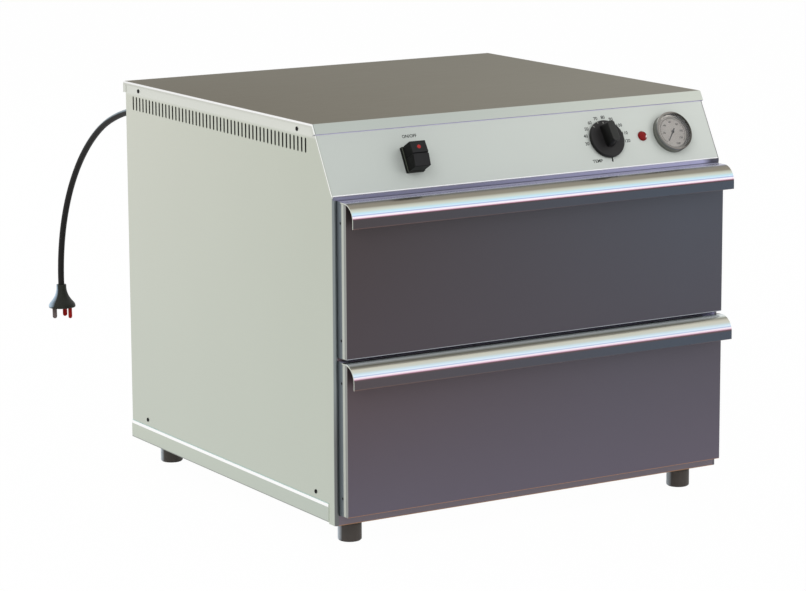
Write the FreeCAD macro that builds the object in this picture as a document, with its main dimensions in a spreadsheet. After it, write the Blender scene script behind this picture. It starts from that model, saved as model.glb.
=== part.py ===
import math
import os
import re

import FreeCAD
import Part
import Sketcher

# Two-drawer countertop warming cabinet in folded stainless steel.
# Millimetres, +Z up, the front faces -Y, and the origin is on the surface it stands on,
# under the middle of the cabinet. Heights are counted from the frame's bottom edge and
# depths from the front plane, and both are turned into the model's frame by height() and depth().

doc = FreeCAD.newDocument("warming_drawer")
sheet_of_sizes = doc.addObject("Spreadsheet::Sheet", "Sizes")

DRIVING_SIZES = [
    # the cabinet's outside
    ("cabinet_width", 620.0),
    ("cabinet_depth", 588.0),
    ("cabinet_height", 525.5),
    ("foot_height", 31.0),
    ("steel", 1.2),
    ("bend_radius", 3.6),
    ("slope_radius", 1.0),
    ("touch_gap", 0.3),
    # sloping control panel
    ("panel_tilt", 29.0),
    ("panel_rise", 89.7),
    ("panel_foot_setback", 1.4),
    ("panel_side_gap", 1.5),
    ("panel_ledge", 16.0),
    # lid
    ("lid_overhang", 2.0),
    ("lid_back_overhang", 4.0),
    ("lid_lip", 15.5),
    ("lid_skirt", 5.0),
    ("lid_back_skirt", 16.0),
    # side panels
    ("stile_face", 5.2),
    ("rebate_depth", 16.0),
    ("landing_reach", 22.0),
    ("flange", 12.0),
    ("vent_count", 50),
    ("vent_width", 3.9),
    ("vent_length", 20.0),
    ("vent_drop", 29.6),
    ("vent_front_margin", 68.2),
    ("vent_back_margin", 23.4),
    ("side_screw_radius", 3.0),
    ("side_screw_head", 1.0),
    ("side_screw_shank", 2.0),
    ("side_screw_length", 6.0),
    ("low_screw_height", 36.5),
    ("low_screw_front", 50.7),
    ("low_screw_back", 48.9),
    ("high_screw_drop", 10.7),
    ("high_screw_front", 90.8),
    ("high_screw_back", 39.7),
    ("hole_clearance", 0.2),
    # base tray and feet
    ("tray_wall", 0.9),
    ("tray_overhang", 0.95),
    ("tray_lift", 2.4),
    ("tray_rim_height", 28.0),
    ("tray_bevel", 5.0),
    ("tray_start", 16.5),
    ("foot_radius", 16.0),
    ("foot_inset", 41.0),
    ("foot_front", 33.0),
    ("foot_back", 42.5),
    ("foot_chamfer", 1.6),
    # back panel
    ("back_inset", 1.2),
    ("back_screw_radius", 3.5),
    ("back_screw_head", 2.0),
    ("back_screw_margin", 7.0),
    # drawer openings, fronts and handles
    ("front_bottom", 14.1),
    ("front_gap", 4.7),
    ("front_side_gap", 7.1),
    ("front_clearance", 0.6),
    ("front_depth", 19.5),
    ("skin_depth", 9.5),
    ("pan_depth", 12.0),
    ("front_radius", 2.2),
    ("front_bottom_radius", 1.0),
    ("pan_steel", 1.0),
    ("handle_steel", 2.0),
    ("handle_radius", 22.0),
    ("handle_lip", 9.5),
    ("handle_side_gap", 6.0),
    ("front_screw_radius", 1.8),
    ("front_screw_low", 24.0),
    ("front_screw_drop", 27.8),
    ("front_screw_set", 2.6),
    ("header_height", 3.9),
    ("header_gap", 0.3),
    ("landing_height", 11.0),
    # liner and insulation
    ("liner_steel", 1.0),
    ("liner_room", 42.0),
    ("side_blanket", 17.6),
    ("back_blanket", 24.0),
    ("level_board", 17.0),
    ("blanket_margin", 24.0),
    # drawer boxes and telescopic slides
    ("box_lift", 33.9),
    ("box_drop", 66.1),
    ("box_room", 33.0),
    ("box_steel", 1.0),
    ("box_rim", 8.0),
    ("slide_width", 13.2),
    ("slide_steel", 1.2),
    ("slide_height", 45.0),
    ("slide_room", 40.0),
    ("slide_start", 4.0),
    ("slide_lap", 6.0),
    ("slide_running_gap", 0.3),
    # heating elements
    ("heater_radius", 4.2),
    ("heater_lift", 4.0),
    ("heater_half_width", 180.0),
    ("heater_front", 75.0),
    ("heater_bend", 40.0),
    ("heater_tail", 16.0),
    ("heater_foot", 14.0),
    ("heater_foot_front", 110.0),
    ("heater_foot_back", 90.0),
    # controls on the sloping panel
    ("control_line", 43.2),
    ("knob_inset", 176.8),
    ("lamp_inset", 116.3),
    ("gauge_inset", 68.6),
    ("switch_inset", 132.7),
    ("switch_line", 40.7),
    ("knob_radius", 27.4),
    ("knob_top_radius", 26.0),
    ("knob_gap", 0.8),
    ("knob_skirt", 5.8),
    ("knob_height", 24.5),
    ("grip_width", 11.6),
    ("grip_rise", 18.6),
    ("grip_fall", 10.5),
    ("grip_flare", 1.6),
    ("grip_nose", 2.5),
    ("knob_turn", 355.5),
    ("spindle_radius", 3.0),
    ("spindle_depth", 14.0),
    ("running_clearance", 0.05),
    ("thermostat_size", 38.0),
    ("thermostat_depth", 27.0),
    ("bulb_radius", 3.2),
    ("bulb_length", 90.0),
    ("bulb_drop", 5.0),
    ("bulb_start", 300.0),
    ("capillary_radius", 1.1),
    ("capillary_back", 60.0),
    ("capillary_bend", 14.0),
    ("lamp_radius", 7.0),
    ("lamp_rim", 1.2),
    ("lamp_dome", 3.4),
    ("lamp_stem", 5.5),
    ("lamp_depth", 18.0),
    ("gauge_radius", 27.8),
    ("gauge_proud", 11.6),
    ("gauge_wall", 1.6),
    ("gauge_body_radius", 24.5),
    ("gauge_body_depth", 15.0),
    ("dial_height", 5.2),
    ("dial_thickness", 0.8),
    ("glass_thickness", 1.0),
    ("glass_set", 0.7),
    ("needle_length", 17.0),
    ("needle_tail", 6.0),
    ("needle_width", 1.3),
    ("needle_thickness", 0.5),
    ("needle_hub", 2.2),
    ("needle_turn", 141.0),
    ("needle_pin", 0.7),
    ("needle_pin_depth", 6.0),
    ("collar_width", 26.8),
    ("collar_length", 35.8),
    ("collar_height", 5.4),
    ("neck_width", 18.0),
    ("neck_length", 27.0),
    ("neck_height", 13.0),
    ("switch_depth", 16.0),
    ("rocker_width", 24.0),
    ("rocker_length", 34.6),
    ("rocker_lift", 7.6),
    ("rocker_throw", 1.2),
    ("rocker_height", 26.4),
    ("rocker_top_fall", 1.2),
    ("rocker_bottom_fall", 3.0),
    ("rocker_wall", 2.4),
    ("rocker_pocket", 15.0),
    ("rocker_pivot_height", 10.5),
    ("rocker_pin", 1.6),
    ("rocker_lens_radius", 2.9),
    ("rocker_lens_rise", 8.8),
    ("rocker_lens_proud", 0.4),
    ("rocker_lens_depth", 2.0),
    # mains lead
    ("gland_inset", 40.0),
    ("gland_drop", 48.1),
    ("gland_nut", 11.0),
    ("gland_length", 10.0),
    ("gland_thread", 8.0),
    ("gland_thread_length", 9.0),
    ("sleeve_length", 20.0),
    ("sleeve_radius", 8.0),
    ("sleeve_end_radius", 6.0),
    ("cord_radius", 4.7),
    ("plug_collar_radius", 7.6),
    ("plug_radius", 20.6),
    ("plug_height", 35.8),
    ("plug_collar_height", 6.0),
    ("plug_rim_height", 4.6),
    ("plug_shoulder", 15.0),
    ("pin_width", 6.6),
    ("pin_thickness", 2.0),
    ("pin_length", 16.4),
    ("pin_forward", 8.4),
    ("pin_spread", 12.4),
    ("pin_splay", 30.0),
    ("earth_pin_offset", 12.4),
    ("plug_turn", 6.5),
    ("terminal_width", 44.0),
    ("terminal_depth", 18.0),
    ("terminal_height", 24.0),
    ("terminal_offset", 190.0),
]

# Sizes that follow from the ones above, as formulas of the sheet.
FOLLOWING_SIZES = [
    ("panel_foot_height", "cabinet_height - panel_rise"),
    ("front_stack", "panel_foot_height - header_gap - header_height - front_clearance - front_bottom"),
    ("front_height", "(front_stack - front_gap) / 2"),
    ("drawer_pitch", "front_height + front_gap"),
    ("liner_depth", "cabinet_depth - rebate_depth - liner_room"),
    ("box_height", "front_height - box_drop"),
    ("box_length", "liner_depth - box_room"),
    ("slide_length", "liner_depth - slide_room"),
    ("slide_centre", "box_height / 2"),
    ("knob_offset", "cabinet_width / 2 - knob_inset"),
    ("lamp_offset", "cabinet_width / 2 - lamp_inset"),
    ("gauge_offset", "cabinet_width / 2 - gauge_inset"),
    ("switch_offset", "cabinet_width / 2 - switch_inset"),
    ("gland_height", "cabinet_height - gland_drop"),
]

size = {}
for row, (alias, value) in enumerate(DRIVING_SIZES + FOLLOWING_SIZES, start=1):
    sheet_of_sizes.set(f"A{row}", alias.replace("_", " "))
    sheet_of_sizes.set(f"B{row}", f"={value}")
    sheet_of_sizes.setAlias(f"B{row}", alias)
    size[alias] = value
doc.recompute()
for alias, formula in FOLLOWING_SIZES:
    size[alias] = float(sheet_of_sizes.get(alias))


# ---- expressions ----------------------------------------------------------------------

def spelled(words):
    """An expression with every size name looked up in the sheet."""
    return re.sub(r"[a-z_]+", lambda found: "Sizes." + found[0] if found[0] in size else found[0], words)


def bind(target, prop, words):
    target.setExpression(prop, spelled(str(words)))


def depth(words):
    """Place along Y of a point that lies so far behind the front plane."""
    return f"((front_depth + handle_radius - cabinet_depth - lid_back_overhang) / 2 + {words})"


def height(words):
    """Place along Z of a point that lies so far above the frame's bottom edge."""
    return f"(foot_height + {words})"


def seat(target, x=None, y=None, z=None):
    """Bind the origin of an object."""
    for prop, words in (("x", x), ("y", y), ("z", z)):
        if words is not None:
            bind(target, "Placement.Base." + prop, words)


FRONT = depth("0")
BACK = depth("cabinet_depth")
HALF = "(cabinet_width / 2)"
LID_TOP = height("cabinet_height")
PANEL_FOOT_Y = depth("panel_foot_setback")
PANEL_FOOT_Z = height("panel_foot_height")
PANEL_RUN = "((cabinet_height - panel_foot_height) / cos(panel_tilt))"
HEADER_BOTTOM = "(front_bottom + drawer_pitch + front_height + front_clearance)"
RAIL_TOP = "(front_bottom - front_clearance)"
NOSE_LOW = "(front_bottom + front_height + front_clearance)"
NOSE_HIGH = "(front_bottom + drawer_pitch - front_clearance)"
LINER_FLOOR = f"({RAIL_TOP} + landing_height)"
LINER_ROOF = f"({HEADER_BOTTOM} - landing_height)"
LINER_HALF = f"({HALF} - landing_reach)"
LINER_BACK = "(rebate_depth + liner_depth)"
BACK_PANEL_OUT = "(cabinet_depth - back_inset)"

nodes = []


def node(target, name):
    """Name a finished sub-part."""
    target.Label = name
    nodes.append(target)
    return target


# ---- solids ---------------------------------------------------------------------------

def box(name, x, y, z):
    """A box between two places along each axis."""
    block = doc.addObject("Part::Box", name)
    for prop, (low, high) in (("Length", x), ("Width", y), ("Height", z)):
        bind(block, prop, f"({high}) - ({low})")
    seat(block, x[0], y[0], z[0])
    return block


AXIS_TURNS = {
    "x": FreeCAD.Rotation(FreeCAD.Vector(0, 1, 0), 90),
    "y": FreeCAD.Rotation(FreeCAD.Vector(1, 0, 0), -90),
    "z": FreeCAD.Rotation(),
}


def rod(name, axis, radius, length, x, y, z):
    """A round bar that starts at a place and runs along an axis."""
    bar = doc.addObject("Part::Cylinder", name)
    bind(bar, "Radius", radius)
    bind(bar, "Height", length)
    bar.Placement = FreeCAD.Placement(FreeCAD.Vector(), AXIS_TURNS[axis])
    seat(bar, x, y, z)
    return bar


def outline(name, points, turn=FreeCAD.Rotation()):
    """A closed sketch with straight sides, each corner held at its own place."""
    sketch = doc.addObject("Sketcher::SketchObject", name)
    sketch.Placement = FreeCAD.Placement(FreeCAD.Vector(), turn)
    corners = len(points)
    ring = []
    for corner in range(corners):
        angle = 2 * math.pi * corner / corners
        ring.append(FreeCAD.Vector(math.cos(angle), math.sin(angle), 0) * 100)
    for corner in range(corners):
        sketch.addGeometry(Part.LineSegment(ring[corner], ring[(corner + 1) % corners]), False)
    constrain_corners(sketch, points, 0)
    return sketch


def constrain_corners(sketch, points, first_edge):
    """Join a ring of edges and bind each corner's two distances from the origin."""
    corners = len(points)
    for corner in range(corners):
        edge = first_edge + corner
        following = first_edge + (corner + 1) % corners
        sketch.addConstraint(Sketcher.Constraint("Coincident", edge, 2, following, 1))
    for corner, (across, along) in enumerate(points):
        edge = first_edge + corner
        for kind, words in (("DistanceX", across), ("DistanceY", along)):
            held = sketch.addConstraint(Sketcher.Constraint(kind, -1, 1, edge, 1, 1.0))
            bind(sketch, f"Constraints[{held}]", words)


SIDE_VIEW = FreeCAD.Rotation(FreeCAD.Vector(1, 1, 1), 120)
FRONT_VIEW = FreeCAD.Rotation(FreeCAD.Vector(1, 0, 0), 90)


def section_along_x(name, points, x):
    """A section in Y and Z, run along X between two places."""
    sketch = outline(name + "_section", points, SIDE_VIEW)
    seat(sketch, x=x[0])
    run = doc.addObject("Part::Extrusion", name)
    run.Base = sketch
    run.DirMode = "Custom"
    run.Dir = FreeCAD.Vector(1, 0, 0)
    run.Solid = True
    bind(run, "LengthFwd", f"({x[1]}) - ({x[0]})")
    return run


def turned(name, points):
    """A solid of revolution about Z, from a section of radius and height."""
    sketch = outline(name + "_section", points, FRONT_VIEW)
    turn = doc.addObject("Part::Revolution", name)
    turn.Source = sketch
    turn.Axis = FreeCAD.Vector(0, 0, 1)
    turn.Angle = 360
    turn.Solid = True
    return turn


def joined(name, *solids):
    fuse = doc.addObject("Part::MultiFuse", name)
    fuse.Shapes = list(solids)
    fuse.Refine = True
    return fuse


def cut(name, base, *tools):
    tool = tools[0] if len(tools) == 1 else joined(name + "_tools", *tools)
    taken = doc.addObject("Part::Cut", name)
    taken.Base = base
    taken.Tool = tool
    return taken


def group(name, *solids):
    """Like pieces that stay separate solids."""
    compound = doc.addObject("Part::Compound", name)
    compound.Links = list(solids)
    return compound


def rounded(name, base, radius, chosen):
    """Round the edges that a test picks by their middle and direction."""
    doc.recompute()
    picked = []
    for number, edge in enumerate(base.Shape.Edges, start=1):
        if edge.Curve.TypeId != "Part::GeomLine":
            continue
        middle = edge.valueAt((edge.FirstParameter + edge.LastParameter) / 2)
        if chosen(middle, edge.Curve.Direction):
            picked.append((number, radius, radius))
    fillet = doc.addObject("Part::Fillet", name)
    fillet.Base = base
    fillet.Edges = picked
    return fillet


def close(first, second):
    return abs(first - second) < 0.01


def on_panel(target):
    """Carry a piece from its own frame (X right, Y up the slope, Z out) to the sloping panel."""
    target.Placement = FreeCAD.Placement(FreeCAD.Vector(), FreeCAD.Rotation(FreeCAD.Vector(1, 0, 0), 64))
    bind(target, "Placement.Rotation.Angle", "90 - panel_tilt")
    seat(target, "0", PANEL_FOOT_Y, PANEL_FOOT_Z)
    return target


def mirrored(pair, side):
    """A pair of X places on the right, or the same pair on the left."""
    return pair if side == "right" else (f"-({pair[1]})", f"-({pair[0]})")


def pipe(points, radius, bend=None):
    """A round tube along straight runs joined by tangent arcs; prints each arc's radius."""
    corners = [FreeCAD.Vector(*point) for point in points]
    edges = []
    start = corners[0]
    radii = []
    for before, corner, after in zip(corners, corners[1:], corners[2:]):
        into = (corner - before).normalize()
        out = (after - corner).normalize()
        half_turn = into.getAngle(out) / 2
        shorter = min((corner - before).Length, (after - corner).Length)
        arc_radius = bend or 0.45 * shorter / math.tan(half_turn)
        reach = arc_radius * math.tan(half_turn)
        first = corner - into * reach
        last = corner + out * reach
        toward = (out - into).normalize()
        middle = corner + toward * (arc_radius / math.cos(half_turn) - arc_radius)
        edges.append(Part.LineSegment(start, first).toShape())
        edges.append(Part.Arc(first, middle, last).toShape())
        radii.append(round(arc_radius, 1))
        start = last
    edges.append(Part.LineSegment(start, corners[-1]).toShape())
    path = Part.Wire(edges)
    heading = corners[1] - corners[0]
    circle = Part.Wire([Part.makeCircle(radius, corners[0], heading)])
    tube = path.makePipeShell([circle], True, False)
    print("arc radii", radii, "length", round(path.Length, 1),
          "volume share", round(tube.Volume / (math.pi * radius ** 2 * path.Length), 4))
    return tube


def shaped(name, shape):
    feature = doc.addObject("Part::Feature", name)
    feature.Shape = shape
    return feature


def front_y():
    """The front plane's place along Y, worked out from the sheet."""
    total = size["front_depth"] + size["handle_radius"] - size["cabinet_depth"] - size["lid_back_overhang"]
    return total / 2


def panel_y(along, out="0"):
    """Depth of a point of the sloping panel, so far up its slope and out of it."""
    return depth(f"panel_foot_setback + ({along}) * sin(panel_tilt) - ({out}) * cos(panel_tilt)")


def panel_z(along, out="0"):
    return height(f"panel_foot_height + ({along}) * cos(panel_tilt) + ({out}) * sin(panel_tilt)")


def bend_cutter(name, side, radius, axis, run, face):
    """What a bend takes off a square corner on the cabinet's side: a bar less a round.

    The corner lies on the side's outer face and on a second face, given as its place and the
    sense in which the metal lies behind it."""
    place, sense = face
    reach = (f"{place} - {sense} * steel", f"{place} + {sense} * {radius}")
    reach = reach if sense == "1" else reach[::-1]
    x = mirrored((f"{HALF} - {radius}", f"{HALF} + steel"), side)
    x_centre = f"{HALF} - {radius}" if side == "right" else f"{radius} - {HALF}"
    length = f"({run[1]}) - ({run[0]}) + 2 * steel"
    start = f"{run[0]} - steel"
    centre = f"{place} + {sense} * {radius}"
    if axis == "z":
        bar = box(name + "_bar", x, reach, run)
        core = rod(name + "_core", "z", radius, length, x_centre, centre, start)
    else:
        bar = box(name + "_bar", x, run, reach)
        core = rod(name + "_core", "y", radius, length, x_centre, start, centre)
    return cut(name, bar, core)


# ---- lid ------------------------------------------------------------------------------

def make_top_cover():
    """Folded lid: flat top, lip down the slope, short side skirts and a deeper back skirt."""
    under = height("cabinet_height - steel")
    run_top = f"({PANEL_RUN} + steel * tan((90 - panel_tilt) / 2))"
    run_under = f"({PANEL_RUN} - steel / cos(panel_tilt))"
    back_out = depth("cabinet_depth + lid_back_overhang")
    back_in = depth("cabinet_depth + lid_back_overhang - steel")
    skirt_low = height("cabinet_height - lid_back_skirt")
    width = (f"-({HALF} + lid_overhang)", f"({HALF} + lid_overhang)")
    points = [
        (panel_y(f"{PANEL_RUN} - lid_lip", "steel"), panel_z(f"{PANEL_RUN} - lid_lip", "steel")),
        (panel_y(f"{PANEL_RUN} - lid_lip"), panel_z(f"{PANEL_RUN} - lid_lip")),
        (panel_y(run_under), under),
        (back_in, under),
        (back_in, skirt_low),
        (back_out, skirt_low),
        (back_out, LID_TOP),
        (depth(f"panel_foot_setback + {PANEL_RUN} * sin(panel_tilt) - steel / cos(panel_tilt)"), LID_TOP),
    ]
    shell = section_along_x("lid_shell", points, width)
    skirt_z = height("cabinet_height - lid_skirt")
    skirt_run = f"({PANEL_RUN} - lid_skirt / cos(panel_tilt) + (lid_skirt - steel) * tan(panel_tilt))"
    skirt_section = [
        points[0],
        points[-1],
        points[-2],
        (back_out, skirt_z),
        (panel_y(skirt_run, "steel - lid_skirt"), panel_z(skirt_run, "steel - lid_skirt")),
        (panel_y(f"{PANEL_RUN} - lid_lip", "steel - lid_skirt"),
         panel_z(f"{PANEL_RUN} - lid_lip", "steel - lid_skirt")),
    ]
    skirts = []
    for side in ("left", "right"):
        x = mirrored((f"{HALF} + lid_overhang - steel", f"{HALF} + lid_overhang"), side)
        skirts.append(section_along_x(f"lid_{side}_skirt", skirt_section, x))
    whole = joined("lid_whole", shell, *skirts)
    edge_x = size["cabinet_width"] / 2 + size["lid_overhang"]
    top = size["foot_height"] + size["cabinet_height"]
    back = front_y() + size["cabinet_depth"] + size["lid_back_overhang"]

    def outer_bend(middle, direction):
        along_side = close(abs(middle.x), edge_x) and close(abs(direction.y), 1)
        along_back = close(middle.y, back) and close(abs(direction.x), 1)
        along_ridge = close(abs(direction.x), 1) and middle.y < 0
        return close(middle.z, top) and (along_side or along_back or along_ridge)

    node(rounded("top_cover", whole, size["steel"] * 1.5, outer_bend), "top_cover")


# ---- side panels ----------------------------------------------------------------------

def make_vented_sheet(side):
    """The flat of a side panel: a padded outline with a row of vents and four screw holes."""
    body = doc.addObject("PartDesign::Body", side + "_side_sheet")
    plane = next(part for part in body.Origin.OriginFeatures if part.Role == "YZ_Plane")
    inner = f"({HALF} - steel)"
    start = inner if side == "right" else f"-{HALF}"
    low = "(tray_lift + tray_wall)"
    points = [
        (FRONT, height("0")),
        (depth("tray_start"), height("0")),
        (depth("tray_start"), height(low)),
        (BACK, height(low)),
        (BACK, height("cabinet_height - steel")),
        (panel_y(f"{PANEL_RUN} - steel / cos(panel_tilt)"), height("cabinet_height - steel")),
        (panel_y("0"), panel_z("0")),
        (FRONT, height("panel_foot_height - flange / 3")),
    ]
    profile = body.newObject("Sketcher::SketchObject", side + "_side_profile")
    profile.AttachmentSupport = (plane, [""])
    profile.MapMode = "FlatFace"
    bind(profile, "AttachmentOffset.Base.z", start)
    corners = len(points)
    for corner in range(corners):
        angle = 2 * math.pi * corner / corners
        next_angle = 2 * math.pi * (corner + 1) / corners
        here = FreeCAD.Vector(math.cos(angle), math.sin(angle), 0) * 100
        there = FreeCAD.Vector(math.cos(next_angle), math.sin(next_angle), 0) * 100
        profile.addGeometry(Part.LineSegment(here, there), False)
    constrain_corners(profile, points, 0)
    pad = body.newObject("PartDesign::Pad", side + "_side_pad")
    pad.Profile = profile
    bind(pad, "Length", "steel")

    slot = body.newObject("Sketcher::SketchObject", side + "_vent_profile")
    slot.AttachmentSupport = (plane, [""])
    slot.MapMode = "FlatFace"
    bind(slot, "AttachmentOffset.Base.z", f"{start} - steel")
    radius = size["vent_width"] / 2
    reach = size["vent_length"] / 2 - radius
    middle_y = front_y() + size["vent_front_margin"]
    middle_z = size["foot_height"] + size["cabinet_height"] - size["vent_drop"]
    upper = Part.Circle(FreeCAD.Vector(middle_y, middle_z + reach, 0), FreeCAD.Vector(0, 0, 1), radius)
    lower = Part.Circle(FreeCAD.Vector(middle_y, middle_z - reach, 0), FreeCAD.Vector(0, 0, 1), radius)
    slot.addGeometry(Part.ArcOfCircle(upper, 0, math.pi), False)
    slot.addGeometry(Part.ArcOfCircle(lower, math.pi, 2 * math.pi), False)
    for hand in (-1, 1):
        foot = FreeCAD.Vector(middle_y + hand * radius, middle_z - reach, 0)
        head = FreeCAD.Vector(middle_y + hand * radius, middle_z + reach, 0)
        slot.addGeometry(Part.LineSegment(foot, head), False)
    for arc, arc_end, line, line_end in ((0, 2, 2, 2), (0, 1, 3, 2), (1, 1, 2, 1), (1, 2, 3, 1)):
        slot.addConstraint(Sketcher.Constraint("Tangent", arc, arc_end, line, line_end))
    held = slot.addConstraint(Sketcher.Constraint("Radius", 0, radius))
    bind(slot, f"Constraints[{held}]", "vent_width / 2")
    reach_words = "(vent_length - vent_width) / 2"
    for arc, sign in ((0, "+"), (1, "-")):
        across = slot.addConstraint(Sketcher.Constraint("DistanceX", -1, 1, arc, 3, middle_y))
        bind(slot, f"Constraints[{across}]", depth("vent_front_margin"))
        up = slot.addConstraint(Sketcher.Constraint("DistanceY", -1, 1, arc, 3, middle_z))
        bind(slot, f"Constraints[{up}]", height(f"cabinet_height - vent_drop {sign} {reach_words}"))
    pocket = body.newObject("PartDesign::Pocket", side + "_vent")
    pocket.Profile = slot
    pocket.Reversed = True
    bind(pocket, "Length", "3 * steel")
    row = body.newObject("PartDesign::LinearPattern", side + "_vents")
    row.Originals = [pocket]
    row.Direction = (slot, ["H_Axis"])
    bind(row, "Length", "cabinet_depth - vent_front_margin - vent_back_margin")
    bind(row, "Occurrences", "vent_count")
    body.Tip = row
    return body


SIDE_SCREWS = [
    ("low_screw_front", "low_screw_height"),
    ("cabinet_depth - low_screw_back", "low_screw_height"),
    ("high_screw_front", "cabinet_height - high_screw_drop"),
    ("cabinet_depth - high_screw_back", "cabinet_height - high_screw_drop"),
]


def make_side_panel(side):
    """Side panel: the vented sheet with its front stile, rebate, landing and inner flanges."""
    sheet = make_vented_sheet(side)
    stile_top = height("panel_foot_height - flange / 3")
    upright = (height("0"), stile_top)
    face = box(side + "_stile_face", mirrored((f"{HALF} - stile_face", HALF), side),
               (FRONT, depth("steel")), upright)
    rebate = box(side + "_rebate_wall",
                 mirrored((f"{HALF} - stile_face", f"{HALF} - stile_face + steel"), side),
                 (FRONT, depth("rebate_depth")), upright)
    core = box(side + "_stile_core", mirrored((f"{HALF} - bend_radius", f"{HALF} - steel"), side),
               (depth("steel"), depth("bend_radius")), upright)
    landing = box(side + "_landing", mirrored((LINER_HALF, f"{HALF} - stile_face + steel"), side),
                  (depth("rebate_depth - steel"), depth("rebate_depth")), upright)
    inside = (f"{HALF} - flange", f"{HALF} - steel")
    top = box(side + "_top_flange", mirrored(inside, side),
              (panel_y(f"{PANEL_RUN} + flange"), depth("cabinet_depth - flange")),
              (height("cabinet_height - 2 * steel"), height("cabinet_height - steel")))
    back = box(side + "_back_flange", mirrored(inside, side),
               (depth("cabinet_depth - back_inset - 2 * steel"), depth("cabinet_depth - back_inset - steel")),
               (height("tray_lift + tray_wall"), height("cabinet_height - steel")))
    foot = box(side + "_bottom_flange", mirrored(inside, side),
               (depth("tray_start + flange"), depth("cabinet_depth - flange")),
               (height("tray_lift + tray_wall"), height("tray_lift + tray_wall + steel")))
    slope = box(side + "_slope_flange", mirrored(inside, side),
                ("flange / 2", f"{PANEL_RUN} - flange / 2"), ("-2 * steel", "-steel"))
    slope_placed = on_panel(group(side + "_slope_flange_placed", slope))
    whole = joined(side + "_side_whole", sheet, face, core, rebate, landing, top, back, foot, slope_placed)
    screw_holes = []
    for number, (back_by, up_by) in enumerate(SIDE_SCREWS, start=1):
        start = f"{HALF} - 2 * steel" if side == "right" else f"-{HALF} - steel"
        screw_holes.append(rod(f"{side}_screw_hole_{number}", "x", "side_screw_shank + hole_clearance",
                               "3 * steel", start, depth(back_by), height(up_by)))
    drilled = cut(side + "_side_drilled", whole, *screw_holes)
    upright_corner = bend_cutter(side + "_upright_corner", side, "bend_radius", "z",
                                 (height("-steel"), height("panel_foot_height + 3 * steel")),
                                 (FRONT, "1"))
    slope_corner = bend_cutter(side + "_slope_corner", side, "slope_radius", "y",
                               ("0", f"{PANEL_RUN} - 2 * steel"), ("0", "-1"))
    node(cut(side + "_side_panel", drilled, upright_corner, on_panel(slope_corner)), side + "_side_panel")


def make_side_screws():
    """Black pan-head screws, four in each side."""
    screws = []
    for side in ("left", "right"):
        for number, (back_by, up_by) in enumerate(SIDE_SCREWS, start=1):
            name = f"{side}_screw_{number}"
            head_start = HALF if side == "right" else f"-{HALF} - side_screw_head"
            shank_start = f"{HALF} - side_screw_length" if side == "right" else f"-{HALF}"
            head = rod(name + "_head", "x", "side_screw_radius", "side_screw_head",
                       head_start, depth(back_by), height(up_by))
            shank = rod(name + "_shank", "x", "side_screw_shank", "side_screw_length",
                        shank_start, depth(back_by), height(up_by))
            screws.append(joined(name, head, shank))
    node(group("side_screws", *screws), "side_screws")


# ---- base tray, feet and back panel ----------------------------------------------------

def make_base_tray():
    """Bottom tray that wraps round the lower edge of the sides, with a bevelled rim."""
    outer = f"{HALF} + tray_overhang"
    inner = f"{HALF} + tray_overhang - tray_wall"
    y = (depth("tray_start"), depth("cabinet_depth + tray_overhang"))
    floor = box("tray_floor", (f"-({outer})", outer), y, (height("tray_lift"), height("tray_lift + tray_wall")))
    rim = (height("tray_lift"), height("tray_rim_height"))
    back = box("tray_back", (f"-({outer})", outer),
               (depth("cabinet_depth + tray_overhang - tray_wall"), y[1]), rim)
    walls = [box(f"tray_{side}_wall", mirrored((inner, outer), side), y, rim) for side in ("left", "right")]
    whole = joined("tray_whole", floor, back, *walls)
    doc.recompute()
    rim_z = size["foot_height"] + size["tray_rim_height"]
    outer_x = size["cabinet_width"] / 2 + size["tray_overhang"]
    outer_y = front_y() + size["cabinet_depth"] + size["tray_overhang"]
    picked = []
    for number, edge in enumerate(whole.Shape.Edges, start=1):
        middle = edge.CenterOfMass
        on_side = close(abs(middle.x), outer_x) or close(middle.y, outer_y)
        if close(middle.z, rim_z) and on_side and edge.Length > size["rebate_depth"]:
            picked.append((number, size["tray_wall"] * 0.95, size["tray_bevel"]))
    bevel = doc.addObject("Part::Chamfer", "base_tray")
    bevel.Base = whole
    bevel.Edges = picked
    node(bevel, "base_tray")


def make_feet():
    """Four rubber feet, turned, with a chamfered rim on the floor."""
    feet = []
    for x_name, x in (("left", f"-{HALF} + foot_inset"), ("right", f"{HALF} - foot_inset")):
        for y_name, y in (("front", "foot_front"), ("back", "cabinet_depth - foot_back")):
            foot = turned(f"{y_name}_{x_name}_foot", [
                ("0", "0"),
                ("foot_radius - foot_chamfer", "0"),
                ("foot_radius", "foot_chamfer"),
                ("foot_radius", "foot_height + tray_lift"),
                ("0", "foot_height + tray_lift"),
            ])
            seat(foot, x, depth(y))
            feet.append(foot)
    node(group("feet", *feet), "feet")


def back_screw_places():
    """Five screws up each edge of the back panel."""
    for side in (-1, 1):
        for step in range(5):
            x = f"{side} * ({HALF} - back_screw_margin)"
            z = height(f"tray_rim_height + flange + {step} / 4 * (cabinet_height - tray_rim_height - 4 * flange)")
            yield x, z


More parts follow.
